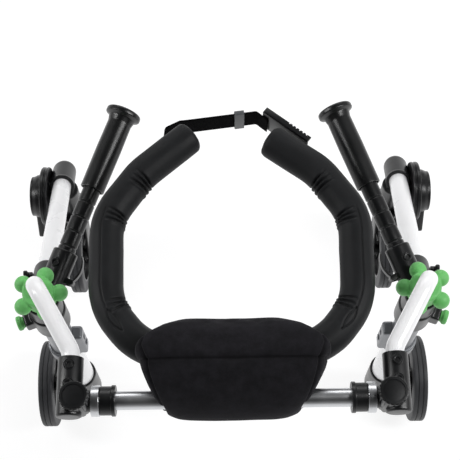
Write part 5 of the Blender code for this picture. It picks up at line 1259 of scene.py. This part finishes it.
@dataclass
class UpperFrame:
    """The two white side tubes, bent over to the posts, and the corner fittings at the back."""

    tube_radius: float = 0.0123
    tube_wall: float = 0.002
    side_x: float = 0.2135
    side_height: float = 0.640
    rise: float = 0.008
    rear_y: float = -0.2718
    bend_y: float = -0.1918
    foot: float = 0.330
    bend_radius: float = 0.030
    elbow_radius: float = 0.026
    hole_radius: float = 0.0046
    hole_top: float = 0.4995
    hole_step: float = 0.040
    overrun: float = 0.005
    crossbar_y: float = -0.2553
    crossbar_height: float = 0.630
    crossbar_reach: float = 0.1721
    socket_radius: float = 0.017
    socket_length: float = 0.079
    socket_floor: float = 0.0067
    socket_behind: float = 0.187
    bolts_behind: tuple[float, float] = (0.1205, 0.1455)
    knuckle_x: float = 0.2055
    knuckle_radius: float = 0.0195
    knuckle_height: float = 0.050
    sleeve_mouth: float = 0.1539
    sleeve_length: float = 0.0205
    sleeve_radius: float = 0.019
    neck_radius: float = 0.0145
    neck_start: float = 0.0188
    collar_x: float = 0.1747
    collar_radii: tuple[float, float] = (0.0149, 0.0205)
    collar_length: float = 0.011

    def side_tube(self) -> None:
        """Sweeps the side tube, bores it and its index holes, and shows both sides."""
        corners = [
            Vector((self.side_x, self.rear_y, self.side_height)),
            Vector((self.side_x, self.bend_y, self.side_height)),
            POST + UP * (self.side_height + self.rise),
            POST + UP * self.foot,
        ]
        path = rounded(corners, [0, self.bend_radius, self.elbow_radius, 0], 18)
        shape = sweep(circle(self.tube_radius, 48), stations(path))
        past = [path[0] - AHEAD * self.overrun, *path, path[-1] - UP * self.overrun]
        holes = [sweep(circle(self.tube_radius - self.tube_wall, 48), stations(past))]
        for index in range(4):
            start = POST + UP * (self.hole_top - index * self.hole_step) + PIN_WAY * 0.004
            holes.append(bar(self.hole_radius, start, start + PIN_WAY * 0.020, 0, 24))
        pair(carved(shape, *holes), "side_tube", WHITE_COAT, "upper_frame")

    def at(self, x: float) -> Vector:
        """The point of the crossbar's axis at a distance from the middle."""
        return Vector((x, self.crossbar_y, self.crossbar_height))

    def corner(self) -> None:
        """Makes the moulded corner: socket, clamp bolts, ribbed knuckle, neck and sleeve."""
        length, bore = self.socket_length, self.tube_radius + SEAT_GAP
        rear = Vector((self.side_x, POST.y - self.socket_behind, self.side_height))
        shapes = [turned((
            (0, 0), (self.socket_radius, 0, 0.003), (self.socket_radius, length, 0.0012),
            (bore + 0.0012, length, 0.0006), (bore, length - 0.0012), (bore, self.socket_floor),
            (0, self.socket_floor),
        ), standing(rear, AHEAD), 64)]
        for behind in self.bolts_behind:
            top = (self.side_x, POST.y - behind, self.side_height + self.socket_radius)
            seat = turned((
                (0.0060, -0.0030), (0.0076, -0.0030), (0.0076, 0.0004, 0.0005),
                (0.0064, 0.0004, 0.0004),
            ), Matrix.Translation(top), 36)
            head = turned((
                (0, -0.0010), (0.0026, -0.0010), (0.0030, 0.0012, 0.0003),
                (0.0058, 0.0015, 0.0008), (0.0060, -0.0030), (0, -0.0030),
            ), Matrix.Translation(top), 36)
            shapes += [seat, head]
        centre = Vector((self.knuckle_x, self.crossbar_y, self.side_height))
        knuckle = plate(
            ribbed(self.knuckle_radius, 0.0009, 18), self.knuckle_height,
            Matrix.Translation(centre), 0.0016,
        )
        inner, outer = self.knuckle_radius - 0.005, self.knuckle_radius - 0.0014
        top = self.side_height + self.knuckle_height / 2
        rim = turned(
            ((inner, 0.0), (outer, 0.0, 0.0006), (outer, 0.0012, 0.0006), (inner, 0.0012)),
            Matrix.Translation((centre.x, centre.y, top)), 64,
        )
        lip = self.sleeve_radius + 0.0015
        sleeve = turned((
            (bore, 0.0, 0.0004), (lip, 0.0, 0.0008), (lip, 0.005, 0.0008),
            (self.sleeve_radius, 0.0055, 0.0004), (self.sleeve_radius, self.sleeve_length, 0.0012),
            (bore, self.sleeve_length),
        ), standing(self.at(self.sleeve_mouth), OUT), 64)
        neck_start = self.at(self.sleeve_mouth + self.neck_start)
        neck = bar(self.neck_radius, neck_start, self.at(self.knuckle_x))
        shapes += [knuckle, rim, sleeve, neck]
        pair(together(*shapes), "corner_fitting", BLACK_NYLON, "upper_frame")

    def collar(self) -> None:
        """Turns the aluminium collar between the knuckle and the sleeve."""
        inner, outer = self.collar_radii
        shape = turned((
            (inner, 0.0), (outer, 0.0, 0.0008), (outer, self.collar_length, 0.0008),
            (inner, self.collar_length),
        ), standing(self.at(self.collar_x), OUT), 64)
        pair(shape, "crossbar_collar", ALUMINIUM, "upper_frame")

    def crossbar(self) -> None:
        """Turns the crossbar's tube."""
        inner, length = self.tube_radius - self.tube_wall, 2 * self.crossbar_reach
        shape = turned((
            (inner, 0.0), (self.tube_radius, 0.0), (self.tube_radius, length), (inner, length),
        ), standing(self.at(-self.crossbar_reach), OUT), 64)
        shown(shape, "rear_crossbar", ALUMINIUM, "upper_frame")

    def build(self) -> None:
        """Makes the frame's pieces."""
        self.side_tube()
        self.corner()
        self.collar()
        self.crossbar()


# Posts and their heads

@dataclass
class Post:
    """One post: head, column, lower tube, latch collar and the foot that carries the rear wheel."""

    housing_top: float = 0.520
    housing_foot: float = 0.462
    housing_radius: float = 0.027
    spigot_radius: float = 0.0165
    spigot_top: float = 0.572
    tube_bore: float = 0.0127
    column_radius: float = 0.0205
    column_wall: float = 0.0022
    column_foot: float = 0.262
    column_top: float = 0.4847
    lug_radius: float = 0.0205
    lug_length: float = 0.080
    leg_radius: float = 0.016
    leg_wall: float = 0.002
    leg_start: float = 0.030
    leg_length: float = 0.3522
    clamp_at: float = 0.063
    pin_height: float = 0.4995
    pin_bore: float = 0.0043
    pin_tip: float = 0.0127
    pin_knob: float = 0.0253
    outer_radius: float = 0.0231
    outer_top: float = 0.317
    outer_foot: float = 0.100
    collar_radius: float = 0.026
    collar_height: float = 0.0277
    latch_reach: float = 0.0355
    latch_width: float = 0.022
    latch_top: float = 0.400
    carrier_foot: float = 0.050
    carrier_radius: float = 0.027
    carrier_top: float = 0.150
    boss_radius: float = 0.017
    boss_reach: float = 0.046
    axle_bore: float = 0.0063

    def head(self) -> None:
        """Melts the housing, leg lug and pin block into one moulding, then bores it."""
        body = upright(self.housing_radius, self.housing_foot, self.housing_top - 0.0002, 0.0030)
        lug = bar(self.lug_radius, LEG_ROOT, LEG_ROOT + LEG_WAY * self.lug_length, 0.0015, 56)
        pin = POST + UP * self.pin_height
        pin_block = block((0.0375, 0.024, 0.025), placed(pin + PIN_WAY * 0.01875, PIN_WAY), 0.002)
        socket, past = LEG_ROOT + LEG_WAY * (self.leg_start - SEAT_GAP), LEG_ROOT + LEG_WAY * 0.1
        moulding = carved(
            fused(together(body, lug, pin_block), 0.0011, 5),
            upright(self.column_radius + SEAT_GAP, 0.4, self.column_top + SEAT_GAP, 0, 56),
            upright(self.tube_bore, 0.4, 0.6, 0, 48),
            bar(self.leg_radius + SEAT_GAP, socket, past, 0, 48),
            bar(self.pin_bore, pin, pin + PIN_WAY * 0.05, 0, 24),
        )
        low = self.housing_top - 0.004
        spigot = turned((
            (self.tube_bore, low), (self.spigot_radius, low),
            (self.spigot_radius, self.spigot_top, 0.001), (self.tube_bore, self.spigot_top),
        ), Matrix.Translation(POST), 56)
        root = LEG_ROOT + LEG_WAY * self.clamp_at
        stud = bar(0.003, root + LEG_OUT * 0.018, root + LEG_OUT * 0.0282, 0.0004, 20)
        pair(together(moulding, spigot, stud), "leg_housing", BLACK_NYLON, "leg")

    def tubes(self) -> None:
        """Turns the grey column and the white lower tube."""
        inner = self.column_radius - self.column_wall
        column = turned((
            (inner, self.column_foot), (self.column_radius, self.column_foot, 0.0006),
            (self.column_radius, self.column_top), (inner, self.column_top),
        ), Matrix.Translation(POST), 72)
        pair(column, "column_tube", GREY_COAT, "leg")
        inner = self.column_radius + SEAT_GAP
        lower = turned((
            (inner, self.outer_foot), (self.outer_radius, self.outer_foot),
            (self.outer_radius, self.outer_top, 0.0006), (inner, self.outer_top),
        ), Matrix.Translation(POST), 72)
        pair(lower, "lower_post", WHITE_COAT, "leg")

    def latch(self) -> None:
        """Melts the clamp ring and the latch plate into one casting, slots it, adds the button."""
        foot = self.outer_top + SEAT_GAP
        depth = self.latch_reach - self.column_radius + 0.004
        tall = self.latch_top - foot
        ring = upright(self.collar_radius, foot, foot + self.collar_height, 0.002)
        middle = POST - OUT * (self.latch_reach - depth / 2) + UP * (foot + tall / 2)
        slab = block((depth, self.latch_width, tall), Matrix.Translation(middle), 0.004)
        face = POST - OUT * self.latch_reach
        slot_place = placed(face + UP * (self.latch_top - 0.027), UP, OUT)
        casting = carved(
            fused(together(ring, slab), 0.001, 4),
            plate(link(0.006, 0.004, 0.00399), 0.005, slot_place),
            upright(self.column_radius + SEAT_GAP, 0.28, 0.43, 0),
        )
        spot = face + UP * (foot + 0.030)
        button = bar(0.005, spot - OUT * 0.002, spot + OUT * 0.003, 0.0006, 32)
        pair(together(casting, button), "post_collar", GREY_COAT, "leg")

    def carrier(self) -> None:
        """Melts the foot and its axle boss into one casting and bores it for post and axle."""
        foot = turned((
            (0, self.carrier_foot), (self.carrier_radius, self.carrier_foot, 0.008),
            (self.carrier_radius, self.carrier_top, 0.002), (0, self.carrier_top),
        ), Matrix.Translation(POST), 64)
        axle = POST + UP * WHEEL_RADIUS
        boss = bar(self.boss_radius, axle, axle + OUT * self.boss_reach, 0.001, 56)
        casting = carved(
            fused(together(foot, boss), 0.0011, 5),
            upright(self.outer_radius + SEAT_GAP, self.outer_foot - SEAT_GAP, 0.16, 0),
            bar(self.axle_bore, axle - OUT * 0.01025, axle + OUT * 0.056, 0, 32),
        )
        pair(casting, "rear_axle_housing", BLACK_NYLON, "leg")

    def front_leg(self) -> None:
        """Turns the white tube that slopes down to the caster."""
        radius, inner, length = self.leg_radius, self.leg_radius - self.leg_wall, self.leg_length
        tube = turned((
            (inner, 0.0), (radius, 0.0, 0.0004), (radius, length, 0.0004), (inner, length),
        ), standing(LEG_ROOT + LEG_WAY * self.leg_start, LEG_WAY), 64)
        pair(tube, "front_leg_tube", WHITE_COAT, "leg")

    def wing_knob(self) -> None:
        """Makes the clamp knob with its one long wing."""
        root = LEG_ROOT + LEG_WAY * self.clamp_at
        inner = root + LEG_OUT * (self.lug_radius + 0.0005)
        boss = bar(0.008, inner, inner + LEG_OUT * 0.012, 0.0012, 40)
        wing_place = placed(root + LEG_OUT * (self.lug_radius + 0.0089), UP, LEG_OUT)
        wing = plate(link(0.0175, 0.0064, 0.0045), 0.006, wing_place, 0.0014)
        hole = bar(
            0.0033, root + LEG_OUT * self.lug_radius, root + LEG_OUT * (self.lug_radius + 0.008),
            0, 20,
        )
        shape = carved(fused(together(boss, wing), 0.0006, 4), hole)
        pair(shape, "wing_knob", BLACK_NYLON, "wing_knob")

    def pull_pin(self) -> None:
        """Turns the green pull knob and its plunger."""
        knob = self.pin_knob
        end = knob + 0.011
        shape = turned((
            (0, 0), (0.004, 0, 0.001), (0.004, knob), (0.0085, knob, 0.0006),
            (0.0085, knob + 0.002, 0.001), (0.011, end - 0.006, 0.0015), (0.011, end, 0.0030),
            (0, end),
        ), standing(POST + UP * self.pin_height + PIN_WAY * self.pin_tip, PIN_WAY), 48)
        pair(shape, "pull_pin", GREEN_SOFT, "pull_pin")

    def build(self) -> None:
        """Makes the posts' pieces."""
        self.head()
        self.tubes()
        self.latch()
        self.carrier()
        self.front_leg()
        self.wing_knob()
        self.pull_pin()


@dataclass
class Handle:
    """A handle: bracket on the spigot, trigger, grooved rod, grip and the star nut above."""

    root: Vector = POST + UP * 0.54315
    way: Vector = Vector((-0.36047, 0.92455, 0.1236)).normalized()
    inward: Vector = Vector((-0.93169, -0.36325, 0)).normalized()
    upward: Vector = Vector((0.0449, -0.11516, 0.99233)).normalized()
    bracket_foot: float = 0.5203
    bracket_top: float = 0.566
    bracket_radius: float = 0.025
    sleeve_radius: float = 0.0185
    sleeve_end: float = 0.082
    spigot_bore: float = 0.0168
    bolt_at: tuple[float, float] = (0.060, -0.004)
    hinge_at: tuple[float, float] = (0.041, 0.0255)
    ear_lift: float = 0.0069
    blade_length: float = 0.042
    blade_bow: float = 0.006
    blade_half: float = 0.00175
    rod_radius: float = 0.01325
    rod_start: float = 0.036
    first_groove: float = 0.0895
    groove_pitch: float = 0.0235
    groove_depth: float = 0.0015
    groove_half: float = 0.00195
    grip_start: float = 0.182
    grip_length: float = 0.130
    grip_radius: float = 0.018
    flange_radius: float = 0.0265
    star_foot: float = 0.5664
    star_top: float = 0.600
    star_middle: float = 0.586
    star_turn: float = 32.5
    star_reach: float = 0.028
    ball_radius: float = 0.0122

    def at(self, distance: float, inward: float = 0.0, upward: float = 0.0) -> Vector:
        """A point by the handle's centreline.

        Args:
            distance: How far from the post's axis.
            inward: How far towards the other handle.
            upward: How far up.

        Returns:
            The point.
        """
        return self.root + self.way * distance + self.inward * inward + self.upward * upward

    def hinge(self, radius: float, half: float, edge: float, steps: int) -> Shape:
        """A round bar along the trigger's axis, as long to both sides."""
        foot, top = self.at(*self.hinge_at, -half), self.at(*self.hinge_at, half)
        return bar(radius, foot, top, edge, steps)

    def bracket(self) -> None:
        """Melts collar and sleeve into one moulding, bores it, and adds bolt, ears and pin."""
        collar = upright(
            self.bracket_radius, self.bracket_foot + 0.0001, self.bracket_top - 0.0001, 0.003,
        )
        sleeve = bar(self.sleeve_radius, self.at(0.010), self.at(self.sleeve_end), 0.002, 56)
        moulding = carved(
            fused(together(collar, sleeve), 0.001, 6),
            upright(self.spigot_bore, 0.5, 0.6, 0, 56),
            bar(self.rod_radius + SEAT_GAP, self.at(0.033), self.at(0.1), 0, 48),
            bar(0.0078, self.at(*self.bolt_at, 0.0176), self.at(*self.bolt_at, 0.03), 0, 32),
        )
        bolt = turned((
            (0, 0.0035), (0.0027, 0.0035), (0.0030, 0.0058, 0.0003), (0.0060, 0.0060, 0.0009),
            (0.0060, 0.0), (0, 0.0),
        ), standing(self.at(*self.bolt_at, 0.0137), self.upward), 36)
        shapes = [moulding, bolt]
        for side in (-1, 1):
            point = self.at(self.hinge_at[0], 0.01295, side * self.ear_lift)
            place = placed(point, self.inward, self.upward)
            shapes.append(plate(link(0.01255, 0.005, 0.004), 0.0028, place, 0.0005))
        shapes.append(self.hinge(0.002, self.ear_lift, 0, 20))
        pair(together(*shapes), "handle_bracket", BLACK_NYLON, "handle_bracket")

    def trigger(self) -> None:
        """Makes the crescent release lever."""
        steps = 24
        outer, inner = [], []
        for step in range(steps + 1):
            share = step / steps
            x = self.blade_length * share
            bow = self.blade_bow * math.sin(math.pi * share)
            half = self.blade_half * min(1.0, 0.35 + 4 * min(share, 1 - share))
            outer.append(Vector((x, bow + half, 0)))
            inner.append(Vector((x, bow - half, 0)))
        place = placed(self.at(*self.hinge_at), self.way, self.upward)
        blade = plate(outer + inner[::-1], 0.010, place, 0.0006)
        barrel = self.hinge(0.004, 0.005, 0.0005, 28)
        shape = carved(fused(together(blade, barrel), 0.0005, 2), self.hinge(0.0023, 0.01, 0, 20))
        pair(shape, "trigger", BLACK_NYLON, "trigger")

    def rod(self) -> None:
        """Turns the rod with its row of V grooves."""
        length = self.grip_start + self.grip_length - 0.0043 - self.rod_start
        corners: list[tuple[float, ...]] = [(0, 0), (self.rod_radius, 0, 0.001)]
        for index in range(4):
            middle = self.first_groove - self.rod_start + index * self.groove_pitch
            corners += [
                (self.rod_radius, middle - self.groove_half, 0.0004),
                (self.rod_radius - self.groove_depth, middle, 0.0002),
                (self.rod_radius, middle + self.groove_half, 0.0004),
            ]
        corners += [(self.rod_radius, length, 0.001), (0, length)]
        shape = turned(corners, standing(self.at(self.rod_start), self.way), 64)
        pair(shape, "handle_rod", BLACK_NYLON, "handle", 25)

    def grip(self) -> None:
        """Turns the rubber grip, with its open mouth and its flange."""
        end, radius, wide = self.grip_length, self.grip_radius, self.flange_radius
        flange, floor = end - 0.008, end - 0.004
        bore = self.rod_radius + SEAT_GAP
        shape = turned((
            (0, end), (wide, end, 0.0034), (wide, flange, 0.0022),
            (radius + 0.0022, flange - 0.003, 0.003), (radius, flange - 0.012, 0.010),
            (radius + 0.0005, end * 0.5, 0.05), (radius, 0.006, 0.01), (radius, 0.0, 0.0016),
            (0.0155, 0.0, 0.0006), (0.0150, 0.0045, 0.0005), (bore, 0.0050), (bore, floor),
            (0, floor),
        ), standing(self.at(self.grip_start), self.way), 96)
        pair(shape, "grip", BLACK_RUBBER, "handle", 50)

    def star_nut(self) -> None:
        """Melts the hub and the five balls into one soft moulding, then bores it."""
        shapes = [upright(0.0225, self.star_foot, self.star_top, 0.0035, 56)]
        centre = POST + UP * self.star_middle
        for index in range(5):
            way = polar(1.0, math.radians(self.star_turn + 72 * index))
            place = Matrix.Translation(centre + way * self.star_reach)
            ball = bmesh.new()
            bmesh.ops.create_icosphere(ball, subdivisions=4, radius=self.ball_radius, matrix=place)
            shapes += [ball, bar(0.0078, centre + way * 0.008, centre + way * 0.024, 0, 32)]
        shape = carved(
            fused(together(*shapes), 0.0009, 6),
            upright(self.spigot_bore, 0.55, 0.5723, 0, 56), upright(0.0128, 0.55, 0.62, 0, 48),
        )
        pair(shape, "star_nut", GREEN_SOFT, "star_nut")

    def build(self) -> None:
        """Makes the handles' pieces."""
        self.bracket()
        self.trigger()
        self.rod()
        self.grip()
        self.star_nut()


# Casters and wheels

@dataclass
class Caster:
    """The foot of the front leg: head with lock disc, domed lock lever and fork."""

    mouth: Vector = Vector((0.29803, 0.2152, 0.2734))
    stem: Vector = Vector((0.29053, 0.2152, 0.0))
    boss_foot: float = 0.183
    boss_top: float = 0.2608
    boss_radius: float = 0.019
    head_radius: float = 0.021
    leg_bore: float = 0.0163
    stem_bore: float = 0.0083
    neck_end: float = 0.3275
    lock_y: float = 0.2072
    lock_height: float = 0.250
    disc_x: float = 0.3205
    disc_thickness: float = 0.014
    disc_radius: float = 0.052
    stud_end: float = 0.3445
    stud_bore: float = 0.0053
    tail_turn: float = 47.0
    crown_depth: float = 0.0145
    stem_top: float = 0.2255
    trail: float = 0.050
    blade_offset: float = 0.0185

    def head(self) -> None:
        """Melts socket, boss and neck into one moulding, bores it, and adds the ribbed disc."""
        wide, lip = self.head_radius, self.head_radius + 0.001
        socket = turned((
            (0, 0), (lip, 0, 0.0008), (lip, 0.004, 0.0008), (wide, 0.0046), (wide, 0.058, 0.010),
            (wide * 0.87, 0.066, 0.006), (wide * 0.5, 0.0704, 0.004), (0, 0.072),
        ), standing(self.mouth, LEG_WAY), 64)
        stem = self.stem
        boss = bar(
            self.boss_radius, stem + UP * self.boss_foot, stem + UP * self.boss_top, 0.0012, 56,
        )
        axis = Vector((0, self.lock_y, self.lock_height))
        neck = bar(self.boss_radius, axis + OUT * self.mouth.x, axis + OUT * self.neck_end, 0, 56)
        deep, past = self.mouth + LEG_WAY * 0.0283, self.mouth - LEG_WAY * 0.06
        moulding = carved(
            fused(together(socket, boss, neck), 0.0011, 5),
            bar(self.leg_bore, past, deep, 0, 48),
            bar(self.stem_bore, stem + UP * 0.17, stem + UP * 0.226, 0, 36),
        )
        radius, thick = self.disc_radius, self.disc_thickness
        groove = radius - 0.0022
        disc = turned((
            (0, 0), (radius - 0.0015, 0, 0.001), (radius, 0.0020, 0.001),
            (radius, 0.0042, 0.0006), (groove, 0.0054, 0.0006), (groove, 0.0068, 0.0006),
            (radius, 0.0080, 0.0006), (radius, 0.0120, 0.001), (radius - 0.0015, thick, 0.001),
            (0, thick),
        ), standing(axis + OUT * self.disc_x, OUT), 96)
        stud = bar(0.005, axis + OUT * self.disc_x, axis + OUT * self.stud_end, 0.0005, 32)
        pair(together(moulding, disc, stud), "caster_head", BLACK_NYLON, "leg")

    def lock_lever(self) -> None:
        """Makes the domed cap with its long tail."""
        face = self.disc_x + self.disc_thickness + 0.0005
        centre = Vector((face, self.lock_y, self.lock_height))
        dome = turned((
            (0, 0), (0.0387, 0), (0.039, 0.002, 0.001), (0.038, 0.00775, 0.004),
            (0.0353, 0.0135, 0.001), (0.0350, 0.0155), (0.0350, 0.018, 0.0010),
            (0.0290, 0.018, 0.001), (0.0280, 0.0172, 0.001), (0, 0.0172),
        ), standing(centre, OUT), 80)
        angle = math.radians(self.tail_turn)
        way = Vector((0, -math.cos(angle), -math.sin(angle)))
        place = placed(centre + OUT * 0.007, way, OUT)
        tail = plate(link(0.072, 0.022, 0.007), 0.011, place, 0.0026)
        shapes = [
            carved(shape, bar(self.stud_bore, centre - OUT * 0.01, centre + OUT * 0.0103, 0, 32))
            for shape in (dome, tail)
        ]
        pair(together(*shapes), "lock_lever", BLACK_NYLON, "lock_lever")

    def fork(self) -> None:
        """Makes stem, crown and the two blades that carry the axle."""
        top = self.boss_foot - 0.0005
        foot = top - self.crown_depth
        shapes = [turned((
            (0, foot), (0.031, foot, 0.002), (0.031, top, 0.0045), (0.008, top),
            (0.008, self.stem_top, 0.001), (0, self.stem_top),
        ), Matrix.Translation(self.stem), 72)]
        high = Vector((self.stem.x, self.stem.y - 0.005, top - 0.022))
        hub = Vector((self.stem.x, self.stem.y - self.trail, WHEEL_RADIUS))
        for side in (-1, 1):
            place = placed(high + OUT * (side * self.blade_offset), hub - high, OUT)
            blade = plate(link((hub - high).length, 0.022, 0.014), 0.005, place, 0.0014)
            hole = bar(0.0053, hub - OUT * 0.03, hub + OUT * 0.03, 0, 32)
            shapes.append(carved(blade, hole))
        pair(together(*shapes), "caster_fork", BLACK_NYLON, "caster")

    def build(self) -> None:
        """Makes the casters' pieces."""
        self.head()
        self.lock_lever()
        self.fork()


@dataclass
class Wheels:
    """The four wheels: a moulded hub with ribs on its web, a grooved tyre and a steel axle."""

    radius: float = WHEEL_RADIUS
    width: float = 0.025
    depth: float = 0.0202
    shoulder: float = 0.008
    grooves: tuple[float, float] = (-0.0042, 0.0042)
    groove_depth: float = 0.0016
    hub_half: float = 0.0156
    web_half: float = 0.0035
    boss_radius: float = 0.013
    rim_wall: float = 0.004
    ribs: int = 6
    front: Vector = Vector((0.29053, 0.1652, WHEEL_RADIUS))
    rear: Vector = Vector((0.3321, -0.0918, WHEEL_RADIUS))
    rear_axle_start: float = -0.00995
    rear_cap: float = 0.08815
    cap_thickness: float = 0.0045
    front_reach: float = 0.0213
    front_end: float = 0.0238

    def tyre(self, centre: Vector, part: str, body: str) -> None:
        """Turns one pair of tyres with two grooves round the tread.

        Args:
            centre: The right wheel's centre.
            part: The node's name without its side.
            body: The body's name without its side.
        """
        half, inner = self.width / 2, self.radius - self.depth + SEAT_GAP
        low = self.radius - self.groove_depth
        corners: list[tuple[float, ...]] = [
            (inner, -half, 0.0006), (self.radius, -half, self.shoulder),
        ]
        for groove in self.grooves:
            corners += [
                (self.radius, groove - 0.0011, 0.0004), (low, groove - 0.0006, 0.0002),
                (low, groove + 0.0006, 0.0002), (self.radius, groove + 0.0011, 0.0004),
            ]
        corners += [(self.radius, half, self.shoulder), (inner, half, 0.0006)]
        pair(turned(corners, standing(centre, OUT), 96), part, TYRE_RUBBER, body)

    def hub(self, centre: Vector, bore: float, part: str, body: str) -> None:
        """Turns one pair of hubs and sets ribs on their webs.

        Args:
            centre: The right wheel's centre.
            bore: The radius of the axle's bore.
            part: The node's name without its side.
            body: The body's name without its side.
        """
        rim = self.radius - self.depth
        wall, boss = rim - self.rim_wall, self.boss_radius
        half, web, long = self.width / 2, self.web_half, self.hub_half
        shapes = [turned((
            (bore, -long, 0.0006), (boss, -long, 0.001), (boss, -web, 0.002), (wall, -web, 0.002),
            (wall, -half, 0.0008), (rim, -half, 0.0008), (rim, half, 0.0008), (wall, half, 0.0008),
            (wall, web, 0.002), (boss, web, 0.002), (boss, long, 0.001), (bore, long, 0.0006),
        ), standing(centre, OUT), 80)]
        rise = Matrix.Translation((0, 0, (wall + boss) / 2))
        for index in range(self.ribs):
            turn = Matrix.Rotation(math.radians(360 / self.ribs * index), 4, "X")
            place = Matrix.Translation(centre) @ turn @ rise
            shapes.append(block((0.013, 0.004, wall - boss + 0.002), place, 0.0012))
        pair(together(*shapes), part, BLACK_NYLON, body)

    def axles(self) -> None:
        """Turns the rear axles with their round caps and the front bolts with their two heads."""
        cap, last = self.rear_cap, self.rear_cap + self.cap_thickness
        rear = turned((
            (0, 0), (0.006, 0, 0.0008), (0.006, cap), (0.010, cap, 0.0004), (0.010, last, 0.0018),
            (0, last),
        ), standing(POST + OUT * self.rear_axle_start + UP * self.radius, OUT), 40)
        pair(rear, "rear_axle", STEEL, "leg")
        reach, end = self.front_reach, self.front_end
        front = turned((
            (0, -end), (0.008, -end, 0.0012), (0.008, -reach), (0.005, -reach), (0.005, reach),
            (0.008, reach), (0.008, end, 0.0012), (0, end),
        ), standing(self.front, OUT), 36)
        pair(front, "front_axle", STEEL, "caster")

    def build(self) -> None:
        """Makes the wheels' pieces."""
        self.axles()
        self.tyre(self.front, "front_tyre", "front_wheel")
        self.tyre(self.rear, "rear_tyre", "rear_wheel")
        self.hub(self.front, 0.0055, "front_hub", "front_wheel")
        self.hub(self.rear, 0.0065, "rear_hub", "rear_wheel")


# Studio

@dataclass
class Studio:
    """Plain pale floor, soft light from above and the sides, and the photograph's camera."""

    elevation: float = 68.0
    roll: float = -0.85
    lens: float = 85.3
    place: Vector = Vector((-0.0014, -0.58433, 2.03468))
    world_strength: float = 0.42
    dark_way: tuple[float, float, float] = (0.0, -0.37, 0.93)
    floor_size: float = 6.0
    floor_glow: float = 0.83

    def floor(self) -> None:
        """Lays the floor, a flat pale sheet."""
        shape = bmesh.new()
        bmesh.ops.create_grid(shape, x_segments=2, y_segments=2, size=self.floor_size)
        ground = as_object(shape, "studio_floor")
        material = bpy.data.materials.new("studio_paper_white")
        tree = fresh_tree(material)
        coords = add(tree, "ShaderNodeTexCoord").outputs["Object"]
        grain = clouds(tree, coords, 60.0, 2.0)
        shader = add(tree, "ShaderNodeBsdfPrincipled", None, {
            "Base Color": mixed(tree, grain, srgb("#8f8f90"), srgb("#949495")),
            "Roughness": 0.9, "Specular IOR Level": 0.1,
            "Emission Color": srgb("#ffffff"), "Emission Strength": self.floor_glow,
        }).outputs["BSDF"]
        add(tree, "ShaderNodeOutputMaterial", None, {"Surface": shader})
        ground.data.materials.append(material)

    def world(self) -> None:
        """Wraps the scene in a white studio that is darker straight above the object."""
        world = bpy.data.worlds.new("studio_world")
        bpy.context.scene.world = world
        tree = fresh_tree(world)
        way = add(tree, "ShaderNodeTexCoord").outputs["Generated"]
        facing = add(tree, "ShaderNodeVectorMath", {"operation": "DOT_PRODUCT"}, {
            0: way, 1: self.dark_way,
        }).outputs["Value"]
        light = add(tree, "ShaderNodeBackground", None, {
            "Color": ranged(tree, facing, (0.25, 0.97, 1.0, 0.06), "SMOOTHSTEP"),
            "Strength": self.world_strength,
        })
        add(tree, "ShaderNodeOutputWorld", None, {"Surface": light.outputs["Background"]})

    def lamp(self, name: str, point: Vector, size: tuple[float, float], power: float) -> None:
        """Hangs a softbox that faces the object.

        Args:
            name: Its name.
            point: Where it hangs.
            size: Its width and height.
            power: Its power in watts.
        """
        data = bpy.data.lights.new(name, "AREA")
        data.shape = "RECTANGLE"
        data.size, data.size_y = size
        data.energy = power
        linked(name, data).matrix_world = standing(point, point - UP * 0.5)

    def camera(self) -> None:
        """Sets up the camera at the photograph's viewing angle."""
        data = bpy.data.cameras.new("photograph_view")
        data.lens = self.lens
        data.sensor_width = 36.0
        viewer = linked("photograph_view", data)
        tilt = Matrix.Rotation(math.radians(90 - self.elevation), 4, "X")
        roll = Matrix.Rotation(math.radians(self.roll), 4, "Z")
        viewer.matrix_world = Matrix.Translation(self.place) @ tilt @ roll
        bpy.context.scene.camera = viewer

    def build(self) -> None:
        """Sets up floor, light and camera."""
        self.camera()
        self.floor()
        self.world()
        self.lamp("softbox_right", Vector((1.6, -0.3, 2.2)), (0.35, 1.6), 34.0)
        self.lamp("softbox_left", Vector((-1.9, 0.2, 1.8)), (0.30, 1.6), 20.0)
        self.lamp("softbox_front", Vector((0.0, 1.9, 1.7)), (2.2, 0.8), 14.0)
        bpy.context.scene.view_settings.view_transform = "Standard"


def dress_frame() -> None:
    """Gives every carried-over CAD node the finish of its record slot."""
    for row in frame["record"]["subparts"]:
        node = frame["nodes"][row["node"]]
        material = FINISHES[row["material_slot"]].material()
        for place in node.material_slots:
            place.material = material


def main() -> None:
    """Builds the studio and then the object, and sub-assembly by sub-assembly."""
    logging.basicConfig(level=logging.INFO, format="%(name)s: %(message)s")
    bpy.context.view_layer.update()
    dress_frame()
    for assembly in (
        Studio(), UpperFrame(), RingPads(), BackPad(), FrontStrap(), Post(), Handle(), Caster(),
        Wheels(),
    ):
        assembly.build()
        log.info("built %s", type(assembly).__name__)


if __name__ == "__main__":
    main()
